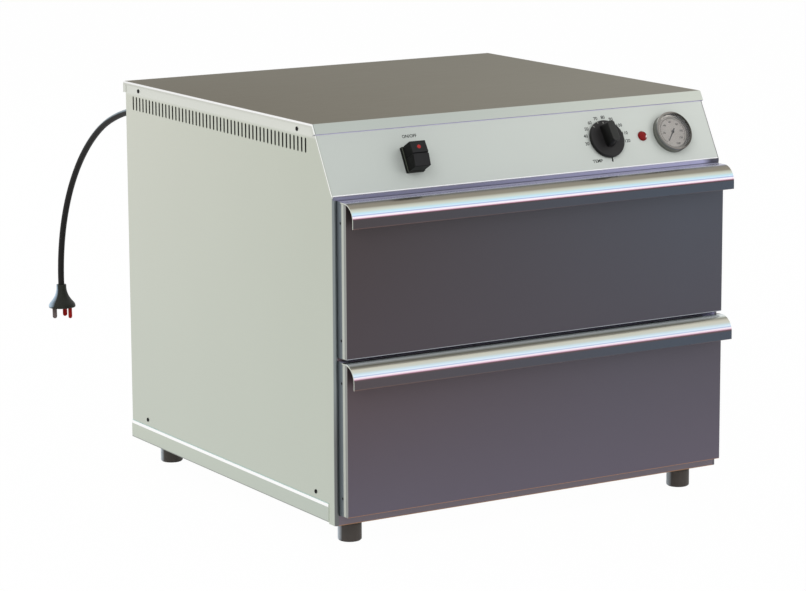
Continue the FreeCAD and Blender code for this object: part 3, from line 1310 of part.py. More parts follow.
def make_mains_lead():
    """Gland, tapered sleeve, lead hanging behind the cabinet, and its three-pin plug."""
    x = f"-{HALF} + gland_inset"
    out = depth(BACK_PANEL_OUT)
    nut = doc.addObject("Part::Prism", "gland_hex")
    nut.Polygon = 6
    bind(nut, "Circumradius", "gland_nut")
    bind(nut, "Height", "gland_length")
    nut.Placement = FreeCAD.Placement(FreeCAD.Vector(), AXIS_TURNS["y"])
    seat(nut, x, out, height("gland_height"))
    thread = rod("gland_thread_bar", "y", "gland_thread", "gland_thread_length",
                 x, depth(f"{BACK_PANEL_OUT} - gland_thread_length"), height("gland_height"))
    lock_nut = rod("gland_lock_nut", "y", "gland_nut", "gland_thread_length / 2",
                   x, depth(f"{BACK_PANEL_OUT} - 2 * steel - gland_thread_length / 2"), height("gland_height"))
    node(joined("cable_gland", nut, thread, lock_nut), "cable_gland")
    sleeve = doc.addObject("Part::Cone", "strain_relief")
    bind(sleeve, "Radius1", "sleeve_radius")
    bind(sleeve, "Radius2", "sleeve_end_radius")
    bind(sleeve, "Height", "sleeve_length")
    sleeve.Placement = FreeCAD.Placement(FreeCAD.Vector(), AXIS_TURNS["y"])
    seat(sleeve, x, depth(f"{BACK_PANEL_OUT} + gland_length"), height("gland_height"))
    node(sleeve, "strain_relief")

    across = -size["cabinet_width"] / 2 + size["gland_inset"]
    exit_depth = size["cabinet_depth"] - size["back_inset"] + size["gland_length"] + size["sleeve_length"]
    shift_y = front_y() + exit_depth - CORD_ROUTE[0][0]
    shift_z = size["foot_height"] + size["gland_height"] - CORD_ROUTE[0][1]
    route = [(across, shift_y + back, shift_z + up) for back, up in CORD_ROUTE]
    node(shaped("power_cord", pipe(route, size["cord_radius"])), "power_cord")

    end = FreeCAD.Vector(*route[-1])
    heading = (end - FreeCAD.Vector(*route[-2])).normalize()
    across_plug = FreeCAD.Vector(1, 0, 0)
    hanging = FreeCAD.Rotation(across_plug, heading.cross(across_plug), heading, "ZXY")
    rolled = hanging.multiply(FreeCAD.Rotation(FreeCAD.Vector(0, 0, 1), size["plug_turn"]))
    hang = FreeCAD.Placement(end, rolled)
    body = turned("plug_raw", [
        ("0", "0"),
        ("plug_collar_radius", "0"),
        ("plug_collar_radius", "plug_collar_height"),
        ("plug_collar_radius * 1.25", "plug_collar_height * 2"),
        ("plug_collar_radius * 1.8", "plug_height - plug_shoulder * 0.85"),
        ("plug_radius * 0.9", "plug_height - plug_rim_height * 1.9"),
        ("plug_radius", "plug_height - plug_rim_height"),
        ("plug_radius", "plug_height - steel / 2"),
        ("plug_radius - steel / 2", "plug_height"),
        ("0", "plug_height"),
    ])
    body.Placement = hang
    node(body, "plug_body")
    blades = [make_blade("earth_blade", "-earth_pin_offset", "0", "0"),
              make_blade("active_blade", "pin_forward", "-pin_spread", "pin_splay"),
              make_blade("neutral_blade", "pin_forward", "pin_spread", "-pin_splay")]
    pins = group("plug_pins", *blades)
    pins.Placement = hang
    node(pins, "plug_pins")

    node(box("terminal_block", ("-terminal_offset - terminal_width / 2", "-terminal_offset + terminal_width / 2"),
             (depth(f"{BACK_PANEL_OUT} - steel - terminal_depth"), depth(f"{BACK_PANEL_OUT} - steel")),
             (height("gland_height - terminal_height / 2"), height("gland_height + terminal_height / 2"))),
         "terminal_block")


# ---- build, check and write ---------------------------------------------------------------

make_top_cover()
make_side_panel("left")
make_side_panel("right")
make_side_screws()
make_base_tray()
make_feet()
make_back_panel()
make_rails()
make_control_panel()
make_liner()
make_insulation()
floor_height = size["front_bottom"] - size["front_clearance"] + size["landing_height"]
nose_sum = 2 * size["front_bottom"] + size["front_height"] + size["drawer_pitch"] + size["liner_steel"]
make_heater("lower", LINER_FLOOR, floor_height)
make_heater("upper", SHELF_TOP, nose_sum / 2)
for drawer, rise in DRAWERS.items():
    make_drawer(drawer, rise)
make_knob()
make_thermostat()
make_pilot_lamp()
make_gauge()
make_switch()
make_mains_lead()
doc.recompute()

for item in doc.Objects:
    broken = [state for state in item.State if state in ("Invalid", "Error")]
    if broken:
        raise RuntimeError(f"{item.Name} did not build: {broken}")
for item in nodes:
    if item.Shape.isNull() or not item.Shape.isValid() or not item.Shape.Solids:
        raise RuntimeError(f"{item.Label} has no valid solid")

os.makedirs("parts", exist_ok=True)
for item in nodes:
    item.Shape.exportStep(f"parts/{item.Label}.step")
print(len(nodes), "nodes written")
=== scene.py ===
import math

import bmesh
import bpy
from mathutils import Matrix, Vector


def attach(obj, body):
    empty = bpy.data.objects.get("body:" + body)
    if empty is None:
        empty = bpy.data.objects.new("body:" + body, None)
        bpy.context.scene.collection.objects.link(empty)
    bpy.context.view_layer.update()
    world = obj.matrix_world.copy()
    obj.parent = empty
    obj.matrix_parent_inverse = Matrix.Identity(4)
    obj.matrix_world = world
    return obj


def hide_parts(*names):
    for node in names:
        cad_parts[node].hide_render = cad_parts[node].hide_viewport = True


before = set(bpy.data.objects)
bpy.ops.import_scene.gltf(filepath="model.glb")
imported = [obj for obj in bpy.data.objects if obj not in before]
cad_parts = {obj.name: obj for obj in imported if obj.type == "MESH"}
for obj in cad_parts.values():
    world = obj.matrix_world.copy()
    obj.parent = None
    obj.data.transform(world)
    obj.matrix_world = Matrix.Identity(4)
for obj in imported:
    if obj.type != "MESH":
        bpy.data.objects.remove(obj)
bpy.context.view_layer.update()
scene = bpy.context.scene


# ---- Studio -----------------------------------------------------------------------
# A pale floor that runs into a white surround, one wide soft lamp over the front left
# and two weak ones for the other sides, and the camera. None of it is part of the cabinet.

def linear(red, green, blue):
    """A colour given as it looks on a screen, turned into the renderer's own values."""
    tones = [value / 255 for value in (red, green, blue)]
    return [t / 12.92 if t <= 0.04045 else ((t + 0.055) / 1.055) ** 2.4 for t in tones] + [1.0]


def add_node(tree, kind, **settings):
    """A shader node of one kind with its settings."""
    node = tree.nodes.new(kind)
    for name, value in settings.items():
        setattr(node, name, value)
    return node


world = bpy.data.worlds.new("surround")
scene.world = world
world.use_nodes = True
tree = world.node_tree
tree.nodes.clear()
rays = add_node(tree, "ShaderNodeLightPath")
seen = add_node(tree, "ShaderNodeMath", operation="ADD", use_clamp=True)
mirrored = add_node(tree, "ShaderNodeMath", operation="ADD", use_clamp=True)
tree.links.new(rays.outputs["Is Glossy Ray"], mirrored.inputs[0])
tree.links.new(rays.outputs["Is Transmission Ray"], mirrored.inputs[1])
tree.links.new(rays.outputs["Is Camera Ray"], seen.inputs[0])
tree.links.new(mirrored.outputs[0], seen.inputs[1])
dome = add_node(tree, "ShaderNodeBackground")
dome.inputs["Color"].default_value = (1, 1, 1, 1)
dome.inputs["Strength"].default_value = 0.62
backdrop = add_node(tree, "ShaderNodeBackground")
backdrop.inputs["Color"].default_value = (1, 1, 1, 1)
backdrop.inputs["Strength"].default_value = 1.0
pick = add_node(tree, "ShaderNodeMixShader")
out = add_node(tree, "ShaderNodeOutputWorld")
tree.links.new(seen.outputs[0], pick.inputs[0])
tree.links.new(dome.outputs[0], pick.inputs[1])
tree.links.new(backdrop.outputs[0], pick.inputs[2])
tree.links.new(pick.outputs[0], out.inputs["Surface"])

floor_mesh = bpy.data.meshes.new("floor")
floor_mesh.from_pydata([(-30, -30, 0), (30, -30, 0), (30, 30, 0), (-30, 30, 0)], [], [(0, 1, 2, 3)])
floor = bpy.data.objects.new("floor", floor_mesh)
scene.collection.objects.link(floor)
floor_material = bpy.data.materials.new("floor")
floor_material.use_nodes = True
tree = floor_material.node_tree
tree.nodes.clear()
matt = add_node(tree, "ShaderNodeBsdfDiffuse")
matt.inputs["Color"].default_value = (0.9, 0.9, 0.9, 1)
white = add_node(tree, "ShaderNodeEmission")
white.inputs["Color"].default_value = (1, 1, 1, 1)
white.inputs["Strength"].default_value = 1.0
rays = add_node(tree, "ShaderNodeLightPath")
seen = add_node(tree, "ShaderNodeMath", operation="ADD", use_clamp=True)
tree.links.new(rays.outputs["Is Camera Ray"], seen.inputs[0])
tree.links.new(rays.outputs["Is Glossy Ray"], seen.inputs[1])
share = add_node(tree, "ShaderNodeMath", operation="MULTIPLY")
share.inputs[1].default_value = 0.985
tree.links.new(seen.outputs[0], share.inputs[0])
pick = add_node(tree, "ShaderNodeMixShader")
out = add_node(tree, "ShaderNodeOutputMaterial")
tree.links.new(share.outputs[0], pick.inputs[0])
tree.links.new(matt.outputs[0], pick.inputs[1])
tree.links.new(white.outputs[0], pick.inputs[2])
tree.links.new(pick.outputs[0], out.inputs["Surface"])
floor_mesh.materials.append(floor_material)


def add_lamp(name, place, size, power):
    """A square soft lamp aimed at the middle of the cabinet."""
    lamp = bpy.data.lights.new(name, "AREA")
    lamp.shape = "SQUARE"
    lamp.size = size
    lamp.energy = power
    lamp_object = bpy.data.objects.new(name, lamp)
    lamp_object.location = place
    cabinet_middle = Vector((0, 0, 0.28))
    aim = cabinet_middle - Vector(place)
    lamp_object.rotation_euler = aim.to_track_quat("-Z", "Y").to_euler()
    lamp_object.visible_glossy = False
    scene.collection.objects.link(lamp_object)


add_lamp("key_lamp", (-2.6, -2.4, 3.0), 2.4, 60)
add_lamp("front_lamp", (2.2, -3.4, 1.8), 2.0, 26)
add_lamp("back_lamp", (0.6, 3.4, 2.6), 2.4, 30)

camera = bpy.data.objects.new("camera", bpy.data.cameras.new("camera"))
camera.data.sensor_width = 36
camera.data.lens = 140.83
camera.location = (-2.3152, -3.7323, 1.1179)
camera.rotation_euler = [math.radians(angle) for angle in (78.968, 0.277, -31.459)]
scene.collection.objects.link(camera)
scene.camera = camera
scene.view_settings.view_transform = "Standard"


# ---- Mains lead -------------------------------------------------------------------
# A round black rubber lead leaves the back at the upper left through a gland and a
# tapered sleeve, and hangs clear of the cabinet down to a moulded plug with three flat pins.

lead_across = -0.270
lead_exit = (lead_across, 0.34155, 0.5084)
lead_route = [
    lead_exit,
    (lead_across, 0.36775, 0.5052),
    (lead_across, 0.41945, 0.4925),
    (lead_across, 0.47335, 0.4709),
    (lead_across, 0.52305, 0.4372),
    (lead_across, 0.56545, 0.3951),
    (lead_across, 0.59875, 0.3464),
    (lead_across, 0.62175, 0.2921),
    (lead_across, 0.63265, 0.2341),
    (lead_across, 0.63165, 0.2044),
]
lead_radius = 0.0047

to_right, to_back, upwards = (1, 0, 0), (0, 1, 0), (0, 0, 1)
to_left, to_front, downwards = (-1, 0, 0), (0, -1, 0), (0, 0, -1)
beyond = 9.0    # metres, past every piece


def principled(name, colour, roughness, metallic=0.0):
    """A material with the plain values of a finish; returns the material and its shader."""
    material = bpy.data.materials.new(name)
    material.use_nodes = True
    shader = material.node_tree.nodes["Principled BSDF"]
    shader.inputs["Base Color"].default_value = colour
    shader.inputs["Roughness"].default_value = roughness
    shader.inputs["Metallic"].default_value = metallic
    return material, shader


def start_group(name, inputs, outputs):
    """A shader group with its named sockets; returns the group and its two ends."""
    group = bpy.data.node_groups.new(name, "ShaderNodeTree")
    for way, sockets in (("INPUT", inputs), ("OUTPUT", outputs)):
        for socket_name, kind in sockets:
            group.interface.new_socket(socket_name, in_out=way, socket_type="NodeSocket" + kind)
    return group, add_node(group, "NodeGroupInput"), add_node(group, "NodeGroupOutput")


def make_speckle_group():
    """Fine irregularity of a moulded or rubber surface: tone, gloss and a slight bump."""
    group, given, result = start_group(
        "moulded_speckle",
        [("Tone", "Color"), ("Paler Tone", "Color"), ("Grain Size", "Float"), ("Gloss", "Float")],
        [("Colour", "Color"), ("Roughness", "Float"), ("Height", "Float")])
    place = add_node(group, "ShaderNodeTexCoord")
    fine = add_node(group, "ShaderNodeTexNoise")
    fine.inputs["Detail"].default_value = 3
    group.links.new(place.outputs["Object"], fine.inputs["Vector"])
    group.links.new(given.outputs["Grain Size"], fine.inputs["Scale"])
    broad = add_node(group, "ShaderNodeTexNoise")
    broad.inputs["Scale"].default_value = 38
    broad.inputs["Detail"].default_value = 2
    group.links.new(place.outputs["Object"], broad.inputs["Vector"])
    tone = add_node(group, "ShaderNodeMix", data_type="RGBA")
    group.links.new(broad.outputs["Fac"], tone.inputs["Factor"])
    group.links.new(given.outputs["Tone"], tone.inputs["A"])
    group.links.new(given.outputs["Paler Tone"], tone.inputs["B"])
    gloss = add_node(group, "ShaderNodeMath", operation="MULTIPLY_ADD")
    gloss.inputs[1].default_value = 0.16
    group.links.new(broad.outputs["Fac"], gloss.inputs[0])
    group.links.new(given.outputs["Gloss"], gloss.inputs[2])
    group.links.new(tone.outputs["Result"], result.inputs["Colour"])
    group.links.new(gloss.outputs[0], result.inputs["Roughness"])
    group.links.new(fine.outputs["Fac"], result.inputs["Height"])
    return group


def make_patch_group():
    """One tone laid over another where the surface faces a way, or lies between two places, or both.

    It is painted light: what the surface mirrors there, an edge that catches the light, or painted shade.
    """
    group, given, result = start_group(
        "patch_of_tone",
        [("Tone", "Color"), ("Patch Tone", "Color"), ("Facing", "Vector"), ("Facing Limit", "Float"),
         ("Facing Blend", "Float"), ("Along", "Vector"), ("Low", "Float"), ("High", "Float"),
         ("Blend", "Float")],
        [("Colour", "Color")])
    place = add_node(group, "ShaderNodeTexCoord")
    mask = None
    for source, vector, limit, blend, sense in (("Normal", "Facing", "Facing Limit", "Facing Blend", 1),
                                                ("Object", "Along", "Low", "Blend", 1),
                                                ("Object", "Along", "High", "Blend", -1)):
        reach = add_node(group, "ShaderNodeVectorMath", operation="DOT_PRODUCT")
        group.links.new(place.outputs[source], reach.inputs[0])
        group.links.new(given.outputs[vector], reach.inputs[1])
        past = add_node(group, "ShaderNodeMath", operation="SUBTRACT")
        group.links.new(reach.outputs["Value"], past.inputs[0 if sense > 0 else 1])
        group.links.new(given.outputs[limit], past.inputs[1 if sense > 0 else 0])
        share = add_node(group, "ShaderNodeMath", operation="DIVIDE", use_clamp=True)
        group.links.new(past.outputs[0], share.inputs[0])
        group.links.new(given.outputs[blend], share.inputs[1])
        if mask:
            both = add_node(group, "ShaderNodeMath", operation="MULTIPLY")
            group.links.new(mask, both.inputs[0])
            group.links.new(share.outputs[0], both.inputs[1])
            mask = both.outputs[0]
        else:
            mask = share.outputs[0]
    mix = add_node(group, "ShaderNodeMix", data_type="RGBA")
    group.links.new(mask, mix.inputs["Factor"])
    group.links.new(given.outputs["Tone"], mix.inputs["A"])
    group.links.new(given.outputs["Patch Tone"], mix.inputs["B"])
    group.links.new(mix.outputs["Result"], result.inputs["Colour"])
    return group


speckle_group = make_speckle_group()
patch_group = make_patch_group()


def patched(tree, tone, patches):
    """Lay patches over a tone; each is (tone, facing, limit, blend, along, low, high, blend)."""
    for patch_tone, facing, limit, facing_blend, along, low, high, blend in patches:
        patch = add_node(tree, "ShaderNodeGroup", node_tree=patch_group)
        tree.links.new(tone, patch.inputs["Tone"])
        patch.inputs["Patch Tone"].default_value = patch_tone
        patch.inputs["Facing"].default_value = Vector(facing).normalized()
        patch.inputs["Facing Limit"].default_value = limit
        patch.inputs["Facing Blend"].default_value = facing_blend
        patch.inputs["Along"].default_value = Vector(along).normalized()
        patch.inputs["Low"].default_value = low
        patch.inputs["High"].default_value = high
        patch.inputs["Blend"].default_value = blend
        tone = patch.outputs["Colour"]
    return tone


def facing_patch(tone, facing, limit, blend, along=upwards, low=-beyond, high=beyond, soft=0.001):
    """A patch on what faces one way, kept between two places when these are given."""
    return tone, facing, limit, blend, along, low, high, soft


def placed_patch(tone, along, low=-beyond, high=beyond, soft=0.0004):
    """A patch between two places, whichever way the surface faces."""
    always_faced = -2.0
    return tone, upwards, always_faced, 0.5, along, low, high, soft


def moulded(name, tone, paler, roughness, grain=1400, depth=0.00002, specular=0.3, patches=()):
    """Plastic or rubber: its tone, gloss and grain come from the speckle, and the patches lay painted
    highlights, reflections and shade over the tone.
    """
    material, shader = principled(name, tone, roughness)
    tree = material.node_tree
    speckle = add_node(tree, "ShaderNodeGroup", node_tree=speckle_group)
    speckle.inputs["Tone"].default_value = tone
    speckle.inputs["Paler Tone"].default_value = paler
    speckle.inputs["Grain Size"].default_value = grain
    speckle.inputs["Gloss"].default_value = roughness - 0.08
    bump = add_node(tree, "ShaderNodeBump")
    bump.inputs["Strength"].default_value = 0.35
    bump.inputs["Distance"].default_value = depth
    tree.links.new(patched(tree, speckle.outputs["Colour"], patches), shader.inputs["Base Color"])
    tree.links.new(speckle.outputs["Roughness"], shader.inputs["Roughness"])
    tree.links.new(speckle.outputs["Height"], bump.inputs["Height"])
    tree.links.new(bump.outputs["Normal"], shader.inputs["Normal"])
    shader.inputs["Specular IOR Level"].default_value = specular
    return material


def add_mesh(name, build, material, body, slot, *replaced):
    """Make a piece from a bmesh that build fills, and hang it on its body."""
    mesh = bpy.data.meshes.new(name)
    shape = bmesh.new()
    build(shape)
    bmesh.ops.recalc_face_normals(shape, faces=shape.faces)
    shape.to_mesh(mesh)
    shape.free()
    piece = bpy.data.objects.new(name, mesh)
    scene.collection.objects.link(piece)
    mesh.materials.append(material)
    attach(piece, body)
    if replaced:
        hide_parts(*replaced)
    return piece


def turn_profile(shape, profile, start=(0, 0, 0), forward=upwards, across=to_right, steps=64):
    """Turn a section of (radius, distance) about an axis; the axis runs from start along forward."""
    forward = Vector(forward).normalized()
    across = Vector(across)
    across = (across - forward * across.dot(forward)).normalized()
    upward = forward.cross(across)
    rings = []
    for radius, distance in profile:
        middle = Vector(start) + forward * distance
        if radius == 0:
            rings.append([shape.verts.new(middle)])
            continue
        ring = []
        for step in range(steps):
            angle = 2 * math.pi * step / steps
            outward = across * math.cos(angle) + upward * math.sin(angle)
            ring.append(shape.verts.new(middle + outward * radius))
        rings.append(ring)
    for ring, following in zip(rings, rings[1:]):
        for step in range(steps):
            after = (step + 1) % steps
            if len(ring) == 1:
                shape.faces.new((ring[0], following[step], following[after]))
            elif len(following) == 1:
                shape.faces.new((ring[step], following[0], ring[after]))
            else:
                shape.faces.new((ring[step], following[step], following[after], ring[after]))


def smooth(piece, angle=35):
    """Shade a piece smooth, and keep the edges that are sharper than the angle."""
    for face in piece.data.polygons:
        face.use_smooth = True
    limit = math.radians(angle)
    shape = bmesh.new()
    shape.from_mesh(piece.data)
    for edge in shape.edges:
        edge.smooth = len(edge.link_faces) == 2 and edge.calc_face_angle() < limit
    shape.to_mesh(piece.data)
    shape.free()


def finish_nodes(material, *names):
    """Give the frame's own pieces their finish."""
    for name in names:
        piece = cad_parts[name]
        if not piece.material_slots:
            piece.data.materials.append(material)
        for place in piece.material_slots:
            place.material = material


# The lead's pale blue patch is a painted highlight along its upper left side.
lead_rubber = moulded("lead_rubber", linear(20, 19, 18), linear(30, 28, 27), 0.5, specular=0.18, patches=[
    facing_patch(linear(150, 166, 176), (-0.72, 0.1, 0.69), 0.84, 0.16)])
lead_curve = bpy.data.curves.new("mains_lead", "CURVE")
lead_curve.dimensions = "3D"
lead_curve.bevel_depth = lead_radius
lead_curve.bevel_resolution = 6
lead_curve.resolution_u = 16
lead_curve.use_fill_caps = True
run = lead_curve.splines.new("NURBS")
run.points.add(len(lead_route) - 1)
for point, place in zip(run.points, lead_route):
    point.co = (*place, 1)
run.order_u = 3
run.use_endpoint_u = True
mains_lead = bpy.data.objects.new("mains_lead", lead_curve)
scene.collection.objects.link(mains_lead)
lead_curve.materials.append(lead_rubber)
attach(mains_lead, "cabinet")
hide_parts("power_cord")

plug_top = Vector(lead_route[-1])
plug_down = (plug_top - Vector(lead_route[-2])).normalized()


def build_plug(shape):
    profile = [
        (0, 0.0), (0.0071, 0.0), (0.0076, 0.0005), (0.0076, 0.0050), (0.0080, 0.0090), (0.0090, 0.0130),
        (0.0106, 0.0172), (0.0130, 0.0215), (0.0160, 0.0255), (0.0186, 0.0285), (0.0201, 0.0308),
        (0.0206, 0.0328), (0.0206, 0.0346), (0.0201, 0.0356), (0.0193, 0.0358), (0.0172, 0.0355), (0, 0.0355),
    ]
    turn_profile(shape, profile, plug_top, plug_down)


# The plug's pale blue patch is a painted highlight on its left side.
plug_moulding = moulded("plug_moulding", linear(30, 32, 27), linear(42, 44, 39), 0.46, specular=0.2, patches=[
    facing_patch(linear(202, 228, 250), (-0.88, 0.36, 0.30), 0.68, 0.34)])
plug = add_mesh("plug", build_plug, plug_moulding, "cabinet", "black_plastic", "plug_body")
smooth(plug)
# The pins are grey plating; the red on the middle and the right pin is a painted reflection.
pin_plating_and_reflections = moulded("pin_plating_and_reflections", linear(106, 96, 95), linear(120, 108, 105), 0.4, specular=0.1, patches=[
    placed_patch(linear(152, 46, 34), to_right, low=-0.2735, soft=0.0010),
    placed_patch(linear(158, 8, 2), to_right, low=-0.2655, soft=0.0010)])
finish_nodes(pin_plating_and_reflections, "plug_pins")


def build_sleeve(shape):
    """A tapered sleeve with shallow rings, open round the lead."""
    foot_radius, taper, length = 0.0080, 0.0020, 0.020
    first_ring, ring_pitch = 0.0030, 0.0034
    profile = [(0.0048, 0.0), (foot_radius, 0.0)]
    for ring in range(5):
        along = first_ring + ring * ring_pitch
        radius = foot_radius - taper * along / length
        profile += [(radius, along - 0.0011), (radius - 0.0007, along - 0.0006),
                    (radius - 0.0007, along + 0.0006), (radius - 0.0001, along + 0.0011)]
    profile += [(0.0061, 0.0193), (0.0057, 0.0200), (0.0048, 0.0200)]
    gland_back = (lead_across, 0.32155, 0.5084)
    turn_profile(shape, profile, gland_back, to_back, steps=40)


sleeve = add_mesh("lead_sleeve", build_sleeve, lead_rubber, "cabinet", "black_rubber", "strain_relief")
smooth(sleeve)


# ---- Cable gland ------------------------------------------------------------------
# A black hexagonal nylon gland, screwed through the back panel and locked with a nut
# inside; it grips the tapered sleeve where the lead comes out.

gland_nylon = moulded("gland_nylon", linear(26, 26, 28), linear(38, 38, 40), 0.48, specular=0.25)
finish_nodes(gland_nylon, "cable_gland")


# ---- Side panels ------------------------------------------------------------------
# Folded satin stainless sheet, brushed along its length, with a row of punched vent
# slots under the lid; each is bent round at the front corner and along the slope.

def make_face_tone_group():
    """The slow change of tone across a sheet, from left to right and towards its low edge. On the outside of
    the cabinet it is painted shading and painted reflection.
    """
    group, given, result = start_group(
        "face_tone",
        [("Left Tone", "Color"), ("Right Tone", "Color"), ("Lower Tone", "Color"), ("Across", "Vector"),
         ("Across Start", "Float"), ("Down", "Vector"), ("Down Start", "Float")],
        [("Colour", "Color")])
    place = add_node(group, "ShaderNodeTexCoord")
    tone = None
    for vector, start, far_tone in (("Across", "Across Start", "Right Tone"),
                                    ("Down", "Down Start", "Lower Tone")):
        along = add_node(group, "ShaderNodeVectorMath", operation="DOT_PRODUCT")
        group.links.new(place.outputs["Object"], along.inputs[0])
        group.links.new(given.outputs[vector], along.inputs[1])
        share = add_node(group, "ShaderNodeMath", operation="SUBTRACT", use_clamp=True)
        group.links.new(along.outputs["Value"], share.inputs[0])
        group.links.new(given.outputs[start], share.inputs[1])
        mix = add_node(group, "ShaderNodeMix", data_type="RGBA")
        group.links.new(share.outputs[0], mix.inputs["Factor"])
        group.links.new(tone if tone else given.outputs["Left Tone"], mix.inputs["A"])
        group.links.new(given.outputs[far_tone], mix.inputs["B"])
        tone = mix.outputs["Result"]
    group.links.new(tone, result.inputs["Colour"])
    return group


def make_brushed_group():
    """Brushed sheet: fine streaks along the grain, faint clouding and an uneven gloss."""
    group, given, result = start_group(
        "brushed_grain",
        [("Tone", "Color"), ("Stretch", "Vector"), ("Streak", "Float"), ("Cloud", "Float"),
         ("Gloss", "Float")],
        [("Colour", "Color"), ("Roughness", "Float"), ("Height", "Float")])
    place = add_node(group, "ShaderNodeTexCoord")
    drawn = add_node(group, "ShaderNodeVectorMath", operation="MULTIPLY")
    group.links.new(place.outputs["Object"], drawn.inputs[0])
    group.links.new(given.outputs["Stretch"], drawn.inputs[1])
    streaks = add_node(group, "ShaderNodeTexNoise")
    streaks.inputs["Scale"].default_value = 1
    streaks.inputs["Detail"].default_value = 4
    streaks.inputs["Roughness"].default_value = 0.65
    group.links.new(drawn.outputs["Vector"], streaks.inputs["Vector"])
    clouds = add_node(group, "ShaderNodeTexNoise")
    clouds.inputs["Scale"].default_value = 5
    clouds.inputs["Detail"].default_value = 2
    group.links.new(place.outputs["Object"], clouds.inputs["Vector"])
    gain = None
    for texture, amount in ((streaks, "Streak"), (clouds, "Cloud")):
        centred = add_node(group, "ShaderNodeMath", operation="SUBTRACT")
        centred.inputs[1].default_value = 0.5
        group.links.new(texture.outputs["Fac"], centred.inputs[0])
        scaled = add_node(group, "ShaderNodeMath", operation="MULTIPLY_ADD")
        group.links.new(centred.outputs[0], scaled.inputs[0])
        group.links.new(given.outputs[amount], scaled.inputs[1])
        if gain:
            group.links.new(gain, scaled.inputs[2])
        else:
            scaled.inputs[2].default_value = 1.0
        gain = scaled.outputs[0]
    lit = add_node(group, "ShaderNodeVectorMath", operation="SCALE")
    group.links.new(given.outputs["Tone"], lit.inputs[0])
    group.links.new(gain, lit.inputs["Scale"])
    gloss = add_node(group, "ShaderNodeMath", operation="MULTIPLY_ADD")
    gloss.inputs[1].default_value = 0.14
    group.links.new(streaks.outputs["Fac"], gloss.inputs[0])
    group.links.new(given.outputs["Gloss"], gloss.inputs[2])
    group.links.new(lit.outputs["Vector"], result.inputs["Colour"])
    group.links.new(gloss.outputs[0], result.inputs["Roughness"])
    group.links.new(streaks.outputs["Fac"], result.inputs["Height"])
    return group


face_tone_group = make_face_tone_group()
brushed_group = make_brushed_group()


def brushed_sheet(name, tones, across, down, stretch, gloss=0.36, streak=0.07, cloud=0.03, metallic=1.0,
                  patches=()):
    """Sheet metal. Across and down each give a direction and the two places the tone changes between. The
    patches lay painted highlights, reflections and shade over the tone.
    """
    material, shader = principled(name, tones[0], gloss, metallic)
    tree = material.node_tree
    face = add_node(tree, "ShaderNodeGroup", node_tree=face_tone_group)
    face.inputs["Left Tone"].default_value = tones[0]
    face.inputs["Right Tone"].default_value = tones[1]
    face.inputs["Lower Tone"].default_value = tones[2]
    for prefix, (direction, start, end) in (("Across", across), ("Down", down)):
        vector = Vector(direction).normalized() / (end - start)
        face.inputs[prefix].default_value = vector
        face.inputs[prefix + " Start"].default_value = start / (end - start)
    grain = add_node(tree, "ShaderNodeGroup", node_tree=brushed_group)
    tree.links.new(patched(tree, face.outputs["Colour"], patches), grain.inputs["Tone"])
    grain.inputs["Stretch"].default_value = stretch
    grain.inputs["Streak"].default_value = streak
    grain.inputs["Cloud"].default_value = cloud
    grain.inputs["Gloss"].default_value = gloss - 0.07
    bump = add_node(tree, "ShaderNodeBump")
    bump.inputs["Strength"].default_value = 0.12
    bump.inputs["Distance"].default_value = 0.00002
    tree.links.new(grain.outputs["Colour"], shader.inputs["Base Color"])
    tree.links.new(grain.outputs["Roughness"], shader.inputs["Roughness"])
    tree.links.new(grain.outputs["Height"], bump.inputs["Height"])
    tree.links.new(bump.outputs["Normal"], shader.inputs["Normal"])
    return material


slope_out = (0, -0.875, 0.485)               # square out of the sloping front
slope_up = (0, 0.4848, 0.8746)               # along it, from its foot to the lid
slope_corner = (-0.707, -0.619, 0.343)       # between the left side and the slope
# The side's tones are painted shading, paler at the back and top and darker towards the front and the floor.
# Its patches are a painted highlight along the top of the left side, painted shade on the front return,
# deeper towards the floor and at the right, and a painted highlight along the bend at the slope.
side_steel = brushed_sheet(
    "side_steel", [linear(209, 211, 199), linear(197, 201, 188), linear(193, 200, 189)],
    across=(to_front, -0.30, 0.20), down=(downwards, -0.56, 0.10), stretch=(900, 14, 900), patches=[
        facing_patch(linear(219, 221, 213), to_left, 0.8, 0.1, low=0.537, soft=0.004),
        facing_patch(linear(136, 143, 144), to_front, 0.25, 0.3, high=0.4665),
        facing_patch(linear(112, 114, 114), to_front, 0.25, 0.3, high=0.22, soft=0.08),
        facing_patch(linear(100, 96, 102), to_front, 0.25, 0.3, to_right, low=0.30, soft=0.002),
        facing_patch(linear(252, 253, 252), slope_corner, 0.86, 0.06, low=0.4655)])
finish_nodes(side_steel, "left_side_panel", "right_side_panel")


# ---- Lid --------------------------------------------------------------------------
# One satin stainless sheet over the whole cabinet, its front edge folded down the slope
# in a 15 mm lip and its sides and back in short skirts, brushed from side to side.

